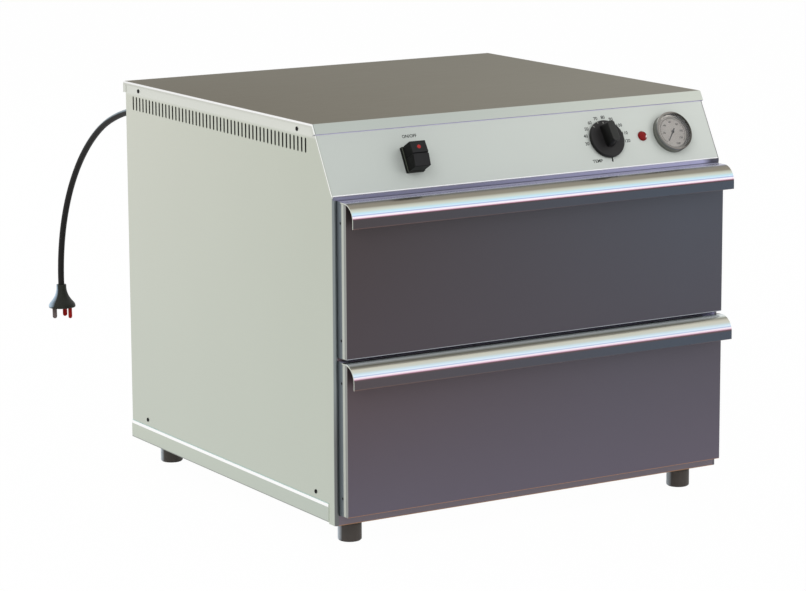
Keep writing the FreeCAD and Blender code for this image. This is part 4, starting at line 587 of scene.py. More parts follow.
# The lid's tones are painted reflection, its top darker and browner than its sides. Its patches paint the lip
# down the slope as lit, a painted highlight with painted shade inside it at the lip's left end, the skirts as
# light as the side panels, a painted highlight along the top edge, and a painted lilac reflection along the
# lip's lower edge.
lid_steel = brushed_sheet(
    "lid_steel", [linear(102, 93, 73), linear(138, 134, 121), linear(119, 114, 99)],
    across=((1, -0.6, 0), -0.36, 0.32), down=(to_back, -0.10, 0.60), stretch=(14, 900, 900), gloss=0.34,
    patches=[
        facing_patch(linear(187, 194, 188), slope_out, 0.72, 0.16),
        facing_patch(linear(208, 213, 203), slope_out, 0.72, 0.16, to_right, low=-0.12, soft=0.42),
        facing_patch(linear(140, 145, 146), slope_out, 0.80, 0.1, to_right, high=-0.3088, soft=0.0003),
        facing_patch(linear(244, 246, 242), slope_out, 0.80, 0.1, to_right, high=-0.3098, soft=0.0003),
        facing_patch(linear(217, 219, 211), to_left, 0.75, 0.1),
        facing_patch(linear(217, 219, 211), (-0.784, -0.62, 0), 0.9, 0.05),
        facing_patch(linear(206, 209, 201), to_right, 0.75, 0.1),
        facing_patch(linear(208, 211, 203), to_back, 0.75, 0.1),
        facing_patch(linear(255, 255, 255), (-0.85, 0, 0.5), 0.6, 0.1, low=0.5540, soft=0.0003),
        placed_patch(linear(186, 184, 206), slope_up, 0.3610, 0.3629, 0.0002)])
lid_steel.node_tree.nodes["Principled BSDF"].inputs["Specular Tint"].default_value = (0.57, 0.56, 0.53, 1)
finish_nodes(lid_steel, "top_cover")


def build_skirt_ends(shape):
    """The short returns that close the back skirt at each side, bevelled down to the side panels."""
    outline = [(0.3120, 0.3156), (0.3120, 0.3146), (0.3101, 0.3122), (0.3101, 0.3156)]
    for side in (-1, 1):
        rings = [[shape.verts.new((side * x, y, z)) for x, y in outline] for z in (0.5405, 0.5516)]
        shape.faces.new(rings[0])
        shape.faces.new(rings[1])
        for number in range(4):
            after = (number + 1) % 4
            shape.faces.new((rings[0][number], rings[0][after], rings[1][after], rings[1][number]))


add_mesh("skirt_ends", build_skirt_ends, lid_steel, "cabinet", "brushed_lid")


# ---- Base tray and back panel -----------------------------------------------------
# The tray is a shallow folded pan that the side panels stand in, and the back is a flat
# sheet held by five bright pan-head screws up each edge. Both are plain satin stainless.

# The tray's tones are painted shading. Its patches are a painted highlight along its top edge, white below
# and pale cyan above, painted shade along its foot, and its front end painted pale over its shade.
tray_steel = brushed_sheet(
    "tray_steel", [linear(199, 205, 192), linear(190, 198, 188), linear(190, 197, 187)],
    across=(to_front, -0.30, 0.26), down=(downwards, -0.06, 0.0), stretch=(900, 14, 900), patches=[
        placed_patch(linear(255, 255, 255), upwards, low=0.0534, soft=0.0005),
        placed_patch(linear(168, 240, 246), upwards, low=0.0580, soft=0.0004),
        placed_patch(linear(150, 154, 150), upwards, high=0.0348, soft=0.0005),
        facing_patch(linear(244, 248, 240), to_front, 0.4, 0.2)])
# The back's tones are painted shading, darker towards the right and the bottom.
back_steel = brushed_sheet(
    "back_steel", [linear(196, 199, 190), linear(186, 190, 182), linear(180, 184, 178)],
    across=(to_right, -0.31, 0.31), down=(downwards, -0.55, -0.03), stretch=(900, 900, 14), gloss=0.42)
finish_nodes(tray_steel, "base_tray")
finish_nodes(back_steel, "back_panel")


# ---- Case screws ------------------------------------------------------------------
# Pan-head screws with a cross recess: black ones hold the side panels at their four
# corners, and bright zinc ones hold the back panel.

def add_cross_head(shape, middle, outward, radius, rise, turn=0.3):
    """A domed screw head with a pressed cross, its rim on the sheet."""
    outward = Vector(outward)
    side = outward.orthogonal().normalized()
    side = Matrix.Rotation(turn, 3, outward) @ side
    other = outward.cross(side)
    rings = []
    steps = 48
    dome = ((1.0, 0.0), (1.0, 0.35), (0.93, 0.68), (0.8, 0.88), (0.6, 0.98), (0.42, 1.0), (0.24, 1.0))
    for share, height in dome:
        ring = []
        for step in range(steps):
            angle = 2 * math.pi * step / steps
            across, up = math.cos(angle) * share, math.sin(angle) * share
            slot = min(abs(across), abs(up)) < 0.13 and share < 0.7
            depth = 0.45 * (1 - share) + 0.18 if slot else 0
            place = Vector(middle) + (side * across + other * up) * radius
            ring.append(shape.verts.new(place + outward * rise * (height - depth)))
        rings.append(ring)
    for ring, following in zip(rings, rings[1:]):
        for step in range(steps):
            after = (step + 1) % steps
            shape.faces.new((ring[step], ring[after], following[after], following[step]))
    shape.faces.new(rings[-1])


def build_side_screws(shape):
    """Four cross-headed screws on each side panel."""
    places = ((-0.22455, 0.0675), (0.26385, 0.0675), (-0.18445, 0.5458), (0.27305, 0.5458))
    for side in (-1, 1):
        for turn, (y, z) in enumerate(places):
            add_cross_head(shape, (side * 0.310, y, z), (side, 0, 0), 0.0030, 0.0010, turn * 0.7)


def build_back_screws(shape):
    for x in (-0.303, 0.303):
        for step in range(5):
            add_cross_head(shape, (x, 0.31155, 0.07101 + step * 0.11237), to_back, 0.0035, 0.0020, step * 0.5)


black_zinc = moulded("black_zinc", linear(12, 12, 13), linear(24, 24, 25), 0.42, grain=2600, specular=0.12)
# The bright screws' tones are painted shading, lighter higher up and darker towards the right.
bright_zinc = brushed_sheet(
    "bright_zinc", [linear(176, 178, 178), linear(190, 192, 190), linear(170, 172, 172)],
    across=(upwards, 0.0, 0.5), down=(to_right, -0.3, 0.3), stretch=(700, 700, 700), gloss=0.3)
side_screws = add_mesh("side_screw_heads", build_side_screws, black_zinc, "cabinet", "black_screw",
                       "side_screws")
back_screws = add_mesh("back_screw_heads", build_back_screws, bright_zinc, "cabinet", "bright_screw",
                       "back_screws")
smooth(side_screws)
smooth(back_screws)


# ---- Feet -------------------------------------------------------------------------
# Four turned feet of dark grey rubber, each with a chamfered rim on the table and a
# shallow moulding groove, screwed up into the tray.

def build_feet(shape):
    profile = [
        (0, 0.0), (0.0136, 0.0), (0.0144, 0.0002), (0.0156, 0.0012), (0.0160, 0.0020), (0.0160, 0.0236),
        (0.0157, 0.0240), (0.0157, 0.0248), (0.0160, 0.0252), (0.0160, 0.0334), (0, 0.0334),
    ]
    for x in (-0.269, 0.269):
        for y in (-0.24225, 0.27025):
            turn_profile(shape, profile, (x, y, 0), steps=72)


# The feet's pale blue patch is a painted highlight on their left edges.
foot_rubber = moulded("foot_rubber", linear(70, 65, 61), linear(82, 77, 73), 0.55, grain=1200, patches=[
    facing_patch(linear(226, 236, 246), (-0.85, 0.52, 0), 0.62, 0.34)])
feet = add_mesh("rubber_feet", build_feet, foot_rubber, "cabinet", "grey_rubber", "feet")
smooth(feet)


# ---- Front rails ------------------------------------------------------------------
# Three folded stainless rails cross the front: a header under the control panel, one
# between the drawers and one along the bottom. Each has a landing for the liner.

# The header's lilac tones are a painted reflection, lighter towards the right, with painted shade at its
# right end.
header_steel = brushed_sheet(
    "header_steel", [linear(130, 130, 153), linear(188, 188, 220), linear(146, 146, 168)],
    across=(to_right, -0.10, 0.30), down=(to_back, -0.27, 0.10), stretch=(10, 1400, 1400), gloss=0.4,
    streak=0.35, metallic=0.4, patches=[
        placed_patch(linear(74, 74, 88), to_right, low=0.281, soft=0.014)])
# The middle rail's dark tones are painted shade in the gap between the drawers, with a painted lilac
# reflection at its right end.
rail_steel = brushed_sheet(
    "rail_steel", [linear(112, 98, 104), linear(122, 117, 130), linear(112, 102, 110)],
    across=(to_right, -0.30, 0.10), down=(downwards, -0.27, -0.03), stretch=(14, 900, 900), gloss=0.4,
    metallic=0.6, patches=[
        facing_patch(linear(198, 194, 236), to_front, 0.4, 0.2, to_right, low=0.281, soft=0.004)])
# The bottom rail's dark tones are painted shade under the lower drawer, and the tan strip along its foot is a
# painted reflection.
foot_rail_steel = brushed_sheet(
    "foot_rail_steel", [linear(112, 97, 103), linear(108, 110, 128), linear(114, 106, 114)],
    across=(to_right, -0.30, 0.20), down=(downwards, -0.27, -0.03), stretch=(14, 900, 900), gloss=0.4,
    metallic=0.6, patches=[
        placed_patch(linear(164, 122, 90), upwards, 0.0, 0.0321, 0.0004)])
finish_nodes(header_steel, "header_rail")


def add_box(shape, low, high):
    """A plain block between two corners, one part of a larger piece."""
    plan = ((low[0], low[1]), (high[0], low[1]), (high[0], high[1]), (low[0], high[1]))
    corners = [[shape.verts.new((x, y, z)) for x, y in plan] for z in (low[2], high[2])]
    shape.faces.new(corners[0][::-1])
    shape.faces.new(corners[1])
    for side in range(4):
        after = (side + 1) % 4
        shape.faces.new((corners[0][side], corners[0][after], corners[1][after], corners[1][side]))


def build_header_joint(shape):
    """The bead that closes the joint over the header, with a stop at each end against the side panels."""
    front, back = -0.27515, -0.2640
    stop_foot, bead_foot, bead_top = 0.4630, 0.46652, 0.46678
    add_box(shape, (-0.3085, front, bead_foot), (0.3085, back, bead_top))
    for side in (-1, 1):
        x = sorted((side * 0.3049, side * 0.3085))
        add_box(shape, (x[0], front, stop_foot), (x[1], back, bead_foot))


add_mesh("header_joint", build_header_joint, header_steel, "cabinet", "dull_sheet")
finish_nodes(rail_steel, "middle_rail")
finish_nodes(foot_rail_steel, "bottom_rail")


# ---- Chambers ---------------------------------------------------------------------
# Behind the drawers a thin stainless liner makes two warm chambers, with a board of
# mineral fibre round it and a sheathed heating element on the floor of each.

liner_steel = brushed_sheet(
    "liner_steel", [linear(176, 178, 176), linear(160, 162, 162), linear(150, 152, 152)],
    across=(to_right, -0.29, 0.29), down=(downwards, -0.46, -0.05), stretch=(900, 14, 900), gloss=0.3)
finish_nodes(liner_steel, "liner_left", "liner_right", "liner_roof", "liner_floor", "liner_back",
             "liner_shelf")
fibre = moulded("mineral_fibre_board", linear(196, 182, 132), linear(226, 214, 168), 0.85, grain=900,
                depth=0.0004, specular=0.1)
finish_nodes(fibre, "side_insulation", "back_insulation", "level_insulation",
             "upper_front_insulation", "lower_front_insulation")
sheath_steel = brushed_sheet(
    "sheath_steel", [linear(96, 90, 88), linear(124, 112, 100), linear(80, 76, 76)],
    across=(to_back, -0.20, 0.28), down=(to_right, -0.19, 0.19), stretch=(260, 260, 260), gloss=0.42,
    streak=0.25)
finish_nodes(sheath_steel, "upper_heater", "lower_heater")


# ---- Slides -----------------------------------------------------------------------
# Three-part telescopic slides of zinc-plated steel carry each drawer: a fixed rail on
# the liner, a middle member and a rail on the drawer box.

slide_zinc = brushed_sheet(
    "slide_zinc", [linear(182, 184, 186), linear(168, 172, 176), linear(150, 154, 158)],
    across=(to_front, -0.24, 0.26), down=(downwards, -0.39, -0.12), stretch=(900, 10, 900), gloss=0.28)
finish_nodes(slide_zinc, "upper_cabinet_rails", "upper_middle_rails", "upper_drawer_rails",
             "lower_cabinet_rails", "lower_middle_rails", "lower_drawer_rails")


# ---- Drawer fronts ----------------------------------------------------------------
# Each front is a folded stainless skin over an inner pan, packed with mineral fibre and
# held with two small black screws in each side. The face is dark and softly polished.

# The fronts' tones change across and down as painted shading. Their patches are a painted highlight along the
# upper front's bottom edge, a painted tan reflection along the lower front's bottom edge, the left returns
# painted as light as a lit side, and painted shade where the returns bend round to the face.
upper_front_steel = brushed_sheet(
    "upper_front_steel", [linear(69, 60, 61), linear(76, 80, 90), linear(79, 72, 80)],
    across=(to_right, -0.33, 0.24), down=(downwards, -0.44, -0.06), stretch=(14, 900, 900), gloss=0.4,
    streak=0.05, metallic=0.55, patches=[
        placed_patch(linear(184, 187, 196), upwards, 0.0, 0.2572, 0.0004),
        facing_patch(linear(204, 208, 198), to_left, 0.35, 0.4),
        facing_patch(linear(150, 152, 149), to_left, 0.35, 0.4, to_front, low=0.2902, soft=0.0012)])
lower_front_steel = brushed_sheet(
    "lower_front_steel", [linear(84, 70, 72), linear(82, 79, 88), linear(97, 91, 104)],
    across=(to_right, -0.34, 0.14), down=(downwards, -0.24, -0.03), stretch=(14, 900, 900), gloss=0.4,
    streak=0.05, metallic=0.55, patches=[
        placed_patch(linear(164, 118, 84), upwards, 0.0, 0.0462, 0.0004),
        facing_patch(linear(204, 208, 198), to_left, 0.35, 0.4),
        facing_patch(linear(150, 152, 149), to_left, 0.35, 0.4, to_front, low=0.2902, soft=0.0012)])
finish_nodes(upper_front_steel, "upper_front_skin")
finish_nodes(lower_front_steel, "lower_front_skin")
# The pans' tones are painted shading, and the lilac patch on their upward faces is painted light over the
# header's shade.
pan_steel = brushed_sheet(
    "pan_steel", [linear(112, 121, 126), linear(118, 126, 132), linear(104, 112, 118)],
    across=(upwards, 0.04, 0.46), down=(to_right, -0.30, 0.30), stretch=(900, 900, 14), gloss=0.36,
    metallic=0.35, patches=[facing_patch(linear(172, 172, 194), upwards, 0.6, 0.2)])
finish_nodes(pan_steel, "upper_front_pan", "lower_front_pan")
finish_nodes(black_zinc, "upper_front_screws", "lower_front_screws")
box_steel = brushed_sheet(
    "box_steel", [linear(186, 188, 186), linear(168, 171, 171), linear(150, 153, 154)],
    across=(to_front, -0.24, 0.26), down=(downwards, -0.43, -0.08), stretch=(900, 14, 900), gloss=0.32)
finish_nodes(box_steel, "upper_drawer_box", "lower_drawer_box")


# ---- Handles ----------------------------------------------------------------------
# A full-width pull is folded from 2 mm polished stainless along the top of each front:
# a flat flange, a quarter bend of 22 mm outside radius and a short hanging lip.

handle_half = 0.304
handle_axis_y = -0.29475


def build_handle(shape, top):
    """A sheet bent over in a quarter round, its flange against the drawer and its foot hanging."""
    outer_radius, inner_radius, edge = 0.022, 0.020, 0.0003
    middle = top - outer_radius
    foot = middle - 0.0095
    outer = [(-0.28525, top - edge), (-0.28525 - edge, top)]
    inner = [(-0.28525, top - 0.002 + edge), (-0.28525 - edge, top - 0.002)]
    for step in range(37):
        angle = math.radians(90 * step / 36)
        for side, radius in ((outer, outer_radius), (inner, inner_radius)):
            side.append((handle_axis_y - radius * math.sin(angle), middle + radius * math.cos(angle)))
    outer += [(handle_axis_y - outer_radius, foot + edge), (handle_axis_y - outer_radius + edge, foot)]
    inner += [(handle_axis_y - inner_radius, foot + edge), (handle_axis_y - inner_radius - edge, foot)]
    section = outer + inner[::-1]
    sides = []
    ends = ((-handle_half, edge), (-handle_half + edge, 0), (handle_half - edge, 0), (handle_half, edge))
    for x, inset in ends:
        ring = []
        for number, (y, z) in enumerate(section):
            mate = section[len(section) - 1 - number]
            toward = Vector((0, mate[0] - y, mate[1] - z)).normalized() * inset
            ring.append(shape.verts.new(Vector((x, y, z)) + toward))
        sides.append(ring)
    count = len(section)
    for ring, following in zip(sides, sides[1:]):
        for number in range(count):
            after = (number + 1) % count
            shape.faces.new((ring[number], ring[after], following[after], following[number]))
    half = count // 2
    for ring in (sides[0], sides[-1]):
        for number in range(half - 1):
            mate = count - 1 - number
            shape.faces.new((ring[number], ring[number + 1], ring[mate - 1], ring[mate]))


def polished_bend(name, axis_z, flange_tone, bands):
    """Polished sheet with painted reflections: its tone runs in bands round the bend. Bands are (degrees from
    the top, tone).
    """
    material, shader = principled(name, flange_tone, 0.2, 0.6)
    tree = material.node_tree
    place = add_node(tree, "ShaderNodeTexCoord")
    parts = add_node(tree, "ShaderNodeSeparateXYZ")
    tree.links.new(place.outputs["Object"], parts.inputs[0])
    forward = add_node(tree, "ShaderNodeMath", operation="SUBTRACT")
    forward.inputs[0].default_value = handle_axis_y
    tree.links.new(parts.outputs["Y"], forward.inputs[1])
    above = add_node(tree, "ShaderNodeMath", operation="SUBTRACT")
    above.inputs[1].default_value = axis_z
    tree.links.new(parts.outputs["Z"], above.inputs[0])
    angle = add_node(tree, "ShaderNodeMath", operation="ARCTAN2")
    tree.links.new(forward.outputs[0], angle.inputs[0])
    tree.links.new(above.outputs[0], angle.inputs[1])
    share = add_node(tree, "ShaderNodeMath", operation="MULTIPLY_ADD")
    share.inputs[1].default_value = 1 / math.radians(130)
    share.inputs[2].default_value = 10 / 130
    tree.links.new(angle.outputs[0], share.inputs[0])
    ramp = add_node(tree, "ShaderNodeValToRGB")
    stops = ramp.color_ramp.elements
    stops[0].position = 0
    stops[0].color = flange_tone
    stops[1].position = 1
    stops[1].color = bands[-1][1]
    for degrees, tone in bands:
        stops.new((degrees + 10) / 130).color = tone
    tree.links.new(share.outputs[0], ramp.inputs[0])
    grain = add_node(tree, "ShaderNodeGroup", node_tree=brushed_group)
    # Painted light: a dark bluish reflection on the lip's front, growing towards the right, the cut ends lit
    # where they face left, and the inside of the bend painted lighter than its shade.
    ends = [facing_patch(linear(70, 78, 90), to_front, 0.993, 0.004, to_right, low=-0.30, soft=0.5),
            facing_patch(linear(206, 209, 199), to_left, 0.7, 0.1),
            facing_patch(linear(150, 147, 140), (0, 0.7, -0.7), 0.2, 0.2)]
    tree.links.new(patched(tree, ramp.outputs["Color"], ends), grain.inputs["Tone"])
    grain.inputs["Stretch"].default_value = (8, 1400, 1400)
    grain.inputs["Streak"].default_value = 0.05
    grain.inputs["Cloud"].default_value = 0.05
    grain.inputs["Gloss"].default_value = 0.14
    tree.links.new(grain.outputs["Colour"], shader.inputs["Base Color"])
    tree.links.new(grain.outputs["Roughness"], shader.inputs["Roughness"])
    return material


# Each handle's bands are painted reflections; the upper flange is a painted lilac reflection and the lower
# flange's dark tone is painted shade under the upper drawer.
upper_handle_reflections = polished_bend("upper_handle_painted_reflections", 0.440, linear(164, 164, 187), [
    (8, linear(158, 157, 182)), (12, linear(94, 96, 98)), (17, linear(108, 104, 96)),
    (30, linear(134, 128, 114)), (40, linear(140, 135, 121)), (46, linear(186, 188, 174)),
    (52, linear(204, 209, 197)),
    (57, linear(204, 220, 216)), (62, linear(190, 226, 244)), (66, linear(216, 238, 250)),
    (68.8, linear(146, 168, 214)), (71.6, linear(244, 236, 248)), (75.4, linear(252, 242, 249)),
    (78, linear(224, 176, 198)), (80.5, linear(98, 70, 78)), (84, linear(70, 64, 67)),
    (110.5, linear(70, 64, 67)), (111.5, linear(106, 84, 80))])
lower_handle_reflections = polished_bend("lower_handle_painted_reflections", 0.2292, linear(84, 88, 90), [
    (0, linear(196, 206, 208)), (14, linear(232, 238, 236)), (24, linear(186, 190, 182)),
    (29, linear(134, 134, 120)), (34, linear(170, 168, 154)), (42, linear(204, 202, 187)),
    (52, linear(204, 208, 198)),
    (60, linear(204, 226, 238)), (65, linear(222, 238, 250)), (68, linear(166, 182, 218)),
    (71, linear(248, 240, 248)), (74, linear(246, 226, 238)), (77, linear(212, 168, 190)),
    (79.5, linear(104, 80, 86)), (84, linear(80, 72, 76)), (110.5, linear(80, 72, 76)),
    (111.5, linear(112, 90, 84))])
upper_handle = add_mesh("upper_pull", lambda shape: build_handle(shape, 0.462), upper_handle_reflections, "upper_drawer",
                        "polished_handle", "upper_handle")
lower_handle = add_mesh("lower_pull", lambda shape: build_handle(shape, 0.2512), lower_handle_reflections, "lower_drawer",
                        "polished_handle", "lower_handle")
smooth(upper_handle, 30)
smooth(lower_handle, 30)


# ---- Control panel ----------------------------------------------------------------
# The sloping satin stainless panel that carries every control. It is tucked under the
# lid's lip and folded in at its foot.

panel_tilt = math.radians(29)
panel_frame = Matrix((
    (1, 0, 0, 0),
    (0, math.sin(panel_tilt), -math.cos(panel_tilt), -0.27385),
    (0, math.cos(panel_tilt), math.sin(panel_tilt), 0.4668),
    (0, 0, 0, 1),
))
# The panel's tones are painted shading, lighter towards the right. Its patches are a painted highlight along
# the foot and a painted lilac reflection just under the lid's lip.
panel_steel = brushed_sheet(
    "panel_steel", [linear(188, 194, 189), linear(207, 212, 206), linear(190, 197, 191)],
    across=(to_right, -0.20, 0.31), down=((0, -1, -1), -0.22, 0.20), stretch=(14, 900, 900), gloss=0.42,
    streak=0.025, cloud=0.02, metallic=0.15, patches=[
        placed_patch(linear(255, 255, 255), upwards, 0.0, 0.4689, 0.0004),
        placed_patch(linear(202, 199, 222), slope_up, 0.3617, 0.3660, 0.0002)])
finish_nodes(panel_steel, "control_panel")


def add_to_panel(name, build, material, body, slot, *replaced, across=0.0, up=0.0, turn=0.0):
    """A piece built flat, with x across the panel, y up it and z out of it, then set at its place."""
    piece = add_mesh(name, build, material, body, slot, *replaced)
    piece.data.transform(panel_frame @ Matrix.Translation((across, up, 0)) @ Matrix.Rotation(turn, 4, "Z"))
    return piece


# ---- Printing on the panel --------------------------------------------------------
# Plain dark screen printing: the thermostat's numbers in a ring with its index bar,
# the word under it, and the words over the switch.

printing_ink = moulded("printing_ink", linear(16, 18, 18), linear(26, 28, 28), 0.6, specular=0.1)


def print_words(name, words, middle, height, across=None, lift=0.00005, ink=printing_ink):
    """Flat lettering of the given height on the panel, narrowed or widened to the width across."""
    lettering = bpy.data.curves.new(name, "FONT")
    lettering.body = words
    lettering.align_x = "CENTER"
    lettering.align_y = "CENTER"
    lettering.size = 1
    lettering.offset = 0.016
    lettering.resolution_u = 3
    source = bpy.data.objects.new(name + "_outline", lettering)
    flat = bpy.data.meshes.new_from_object(source)
    bpy.data.objects.remove(source)
    low = [min(point.co[axis] for point in flat.vertices) for axis in (0, 1)]
    high = [max(point.co[axis] for point in flat.vertices) for axis in (0, 1)]
    tall = height / (high[1] - low[1])
    wide = across / (high[0] - low[0]) if across else tall
    centred = Matrix.Translation((-(low[0] + high[0]) / 2, -(low[1] + high[1]) / 2, 0))
    flat.transform(Matrix.Diagonal((wide, tall, 1, 1)) @ centred)
    flat.transform(panel_frame @ Matrix.Translation((*middle, lift)))
    flat.materials.append(ink)
    piece = bpy.data.objects.new(name, flat)
    scene.collection.objects.link(piece)
    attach(piece, "cabinet")


scale_across, scale_up, scale_radius = 0.1349, 0.0425, 0.0334
for number, degrees in ((30, -94.6), (40, -75.5), (50, -56.5), (60, -36.5), (70, -15.2), (80, 6.2),
                        (90, 28.2), (100, 53.9), (110, 76.5), (120, 96.4)):
    angle = math.radians(degrees)
    place = (scale_across + scale_radius * math.sin(angle), scale_up + scale_radius * math.cos(angle))
    print_words(f"scale_{number}", str(number), place, 0.0048)
print_words("scale_word", "TEMP", (0.1103, 0.0138), 0.0044, 0.0164)
print_words("switch_words", "ON/OFF", (-0.1711, 0.0742), 0.0046, 0.0222)


def build_index(shape):
    """The upright bar that stands for the off position."""
    corners = [(-0.0011, -0.0029), (0.0011, -0.0029), (0.0011, 0.0029), (-0.0011, 0.0029)]
    face = shape.faces.new([shape.verts.new((x, y, 0.00005)) for x, y in corners])
    bmesh.ops.inset_region(shape, faces=[face], thickness=0.0002, depth=0.00002)


add_to_panel("scale_index", build_index, printing_ink, "cabinet", "brushed_panel", across=0.1346, up=0.0138,
             turn=-0.06)


# ---- Thermostat knob --------------------------------------------------------------
# A black moulded knob: a chamfered skirt with light marks at its rim and a tall tapered
# grip bar, pushed on the thermostat's steel spindle.

def tapered_block(shape, foot, top, low, high):
    """A block from its foot's (x0, x1, y0, y1) to its top's, between two heights; returns its faces."""
    rings = []
    for (x0, x1, y0, y1), z in ((foot, low), (top, high)):
        rings.append([shape.verts.new((x, y, z)) for x, y in ((x0, y0), (x1, y0), (x1, y1), (x0, y1))])
    faces = [shape.faces.new(rings[0][::-1]), shape.faces.new(rings[1])]
    for side in range(4):
        after = (side + 1) % 4
        faces.append(shape.faces.new((rings[0][side], rings[0][after], rings[1][after], rings[1][side])))
    return faces


def build_knob(shape):
    """The chamfered skirt with the tapered grip bar standing on it."""
    skirt = [
        (0, 0.0008), (0.0260, 0.0008), (0.0268, 0.0012), (0.0271, 0.0020), (0.0271, 0.0030), (0.0266, 0.0050),
        (0.0262, 0.0058), (0.0257, 0.0062), (0.0250, 0.0064), (0.0236, 0.0064), (0, 0.0064),
    ]
    turn_profile(shape, skirt, steps=96)
    faces = tapered_block(shape, (-0.0072, 0.0072, -0.0130, 0.0202), (-0.0058, 0.0058, -0.0105, 0.0186),
                          0.0054, 0.0245)
    edges = {edge for face in faces for edge in face.edges
             if abs(edge.verts[0].co.z - edge.verts[1].co.z) > 0.01}
    bmesh.ops.bevel(shape, geom=list(edges), offset=0.0042, segments=6, profile=0.5, affect="EDGES")
    edges = {edge for face in shape.faces for edge in face.edges if all(v.co.z > 0.0244 for v in edge.verts)}
    bmesh.ops.bevel(shape, geom=list(edges), offset=0.0008, segments=3, profile=0.5, affect="EDGES")


def build_knob_marks(shape):
    for x, y, turn in ((-0.0180, 0.0180, 0.78), (-0.0102, 0.0233, 0.42), (-0.0012, 0.0222, 0.05)):
        along = Vector((-math.sin(turn), math.cos(turn), 0))
        side = Vector((math.cos(turn), math.sin(turn), 0))
        middle = Vector((x, y, 0.00645))
        shape.faces.new([shape.verts.new(middle + side * a * 0.0006 + along * b * 0.0015)
                         for a, b in ((-1, -1), (1, -1), (1, 1), (-1, 1))])


# The knob's outermost faces are painted a little lighter as a painted highlight, and its faces towards the
# left and down are painted darker as painted shade.
knob_plastic = moulded("knob_plastic", linear(28, 27, 28), linear(38, 37, 37), 0.44, specular=0.28, patches=[
    facing_patch(linear(41, 42, 40), slope_out, 0.9, 0.08, slope_out, low=0.4880, soft=0.001),
    facing_patch(linear(8, 8, 7), (-1, -0.3, -0.2), 0.6, 0.3)])
mark_paint = moulded("mark_paint", linear(138, 138, 132), linear(156, 156, 150), 0.5)
knob_across, knob_up = 0.1332, 0.0432
knob = add_to_panel("knob_moulding", build_knob, knob_plastic, "knob", "black_knob", "thermostat_knob",
                    across=knob_across, up=knob_up, turn=math.radians(4.5))
smooth(knob, 32)
add_to_panel("knob_marks", build_knob_marks, mark_paint, "knob", "black_knob", across=knob_across, up=knob_up)
spindle_steel = brushed_sheet(
    "spindle_metal", [linear(170, 172, 172), linear(150, 152, 154), linear(140, 142, 144)],
    across=(to_right, 0.128, 0.136), down=(downwards, -0.52, -0.49), stretch=(400, 400, 400), gloss=0.25)
finish_nodes(spindle_steel, "thermostat_spindle")
thermostat_plastic = moulded("thermostat_case", linear(150, 150, 144), linear(168, 168, 162), 0.5)
finish_nodes(thermostat_plastic, "thermostat_body", "terminal_block")
copper = brushed_sheet(
    "capillary_copper", [linear(198, 122, 88), linear(176, 102, 70), linear(150, 90, 66)],
    across=(to_back, -0.23, 0.11), down=(downwards, -0.49, -0.43), stretch=(500, 60, 500), gloss=0.3)
finish_nodes(copper, "thermostat_bulb")


# ---- Switch -----------------------------------------------------------------------
# A splash-proof rocker switch: a black collar on the panel, and a tall rocker cap with
# a groove across its middle and a small red light in its upper half.

def build_collar(shape):
    """The collar on the panel, with the neck that the cap rocks in."""
    faces = tapered_block(shape, (-0.0134, 0.0134, -0.0179, 0.0179), (-0.0132, 0.0132, -0.0177, 0.0177),
                          0.0, 0.0054)
    edges = {edge for face in faces[1:] for edge in face.edges if any(v.co.z > 0.004 for v in edge.verts)}
    bmesh.ops.bevel(shape, geom=list(edges), offset=0.0007, segments=3, profile=0.5, affect="EDGES")
    neck = (-0.0112, 0.0112, -0.0160, 0.0160)
    tapered_block(shape, neck, neck, 0.0050, 0.0070)


def build_rocker(shape):
    """The cap from the side: its foot slopes with the throw, and its top falls away from the middle."""
    half_width = 0.0120
    low_half = [(-0.0173, 0.0064), (-0.0004, 0.00756), (-0.0004, 0.0250), (-0.0009, 0.0263),
                (-0.0173, 0.0234)]
    high_half = [(0.0004, 0.00764), (0.0173, 0.0088), (0.0173, 0.0252), (0.0009, 0.0263), (0.0004, 0.0250)]
    bridge = [(-0.0005, 0.0076), (0.0005, 0.0076), (0.0005, 0.0246), (-0.0005, 0.0246)]
    for outline, width in ((low_half, half_width), (high_half, half_width), (bridge, half_width - 0.0002)):
        left = [shape.verts.new((-width, y, z)) for y, z in outline]
        right = [shape.verts.new((width, y, z)) for y, z in outline]
        faces = [shape.faces.new(left[::-1]), shape.faces.new(right)]
        for number in range(len(outline)):
            after = (number + 1) % len(outline)
            faces.append(shape.faces.new((left[number], left[after], right[after], right[number])))
        if width == half_width:
            edges = {edge for face in faces for edge in face.edges
                     if all(v.co.z > 0.02 for v in edge.verts)
                     or abs(edge.verts[0].co.z - edge.verts[1].co.z) > 0.01}
            bmesh.ops.bevel(shape, geom=list(edges), offset=0.0006, segments=3, profile=0.5, affect="EDGES")


def build_rocker_light(shape):
    """The small round light, slightly domed."""
    profile = [(0.0029, 0.0), (0.0029, 0.0014), (0.0027, 0.0019), (0.0020, 0.0022), (0.0010, 0.0024),
               (0, 0.00245)]
    turn_profile(shape, profile, (0, 0.0088, 0.0240), steps=40)


switch_across, switch_up = -0.1773, 0.0407
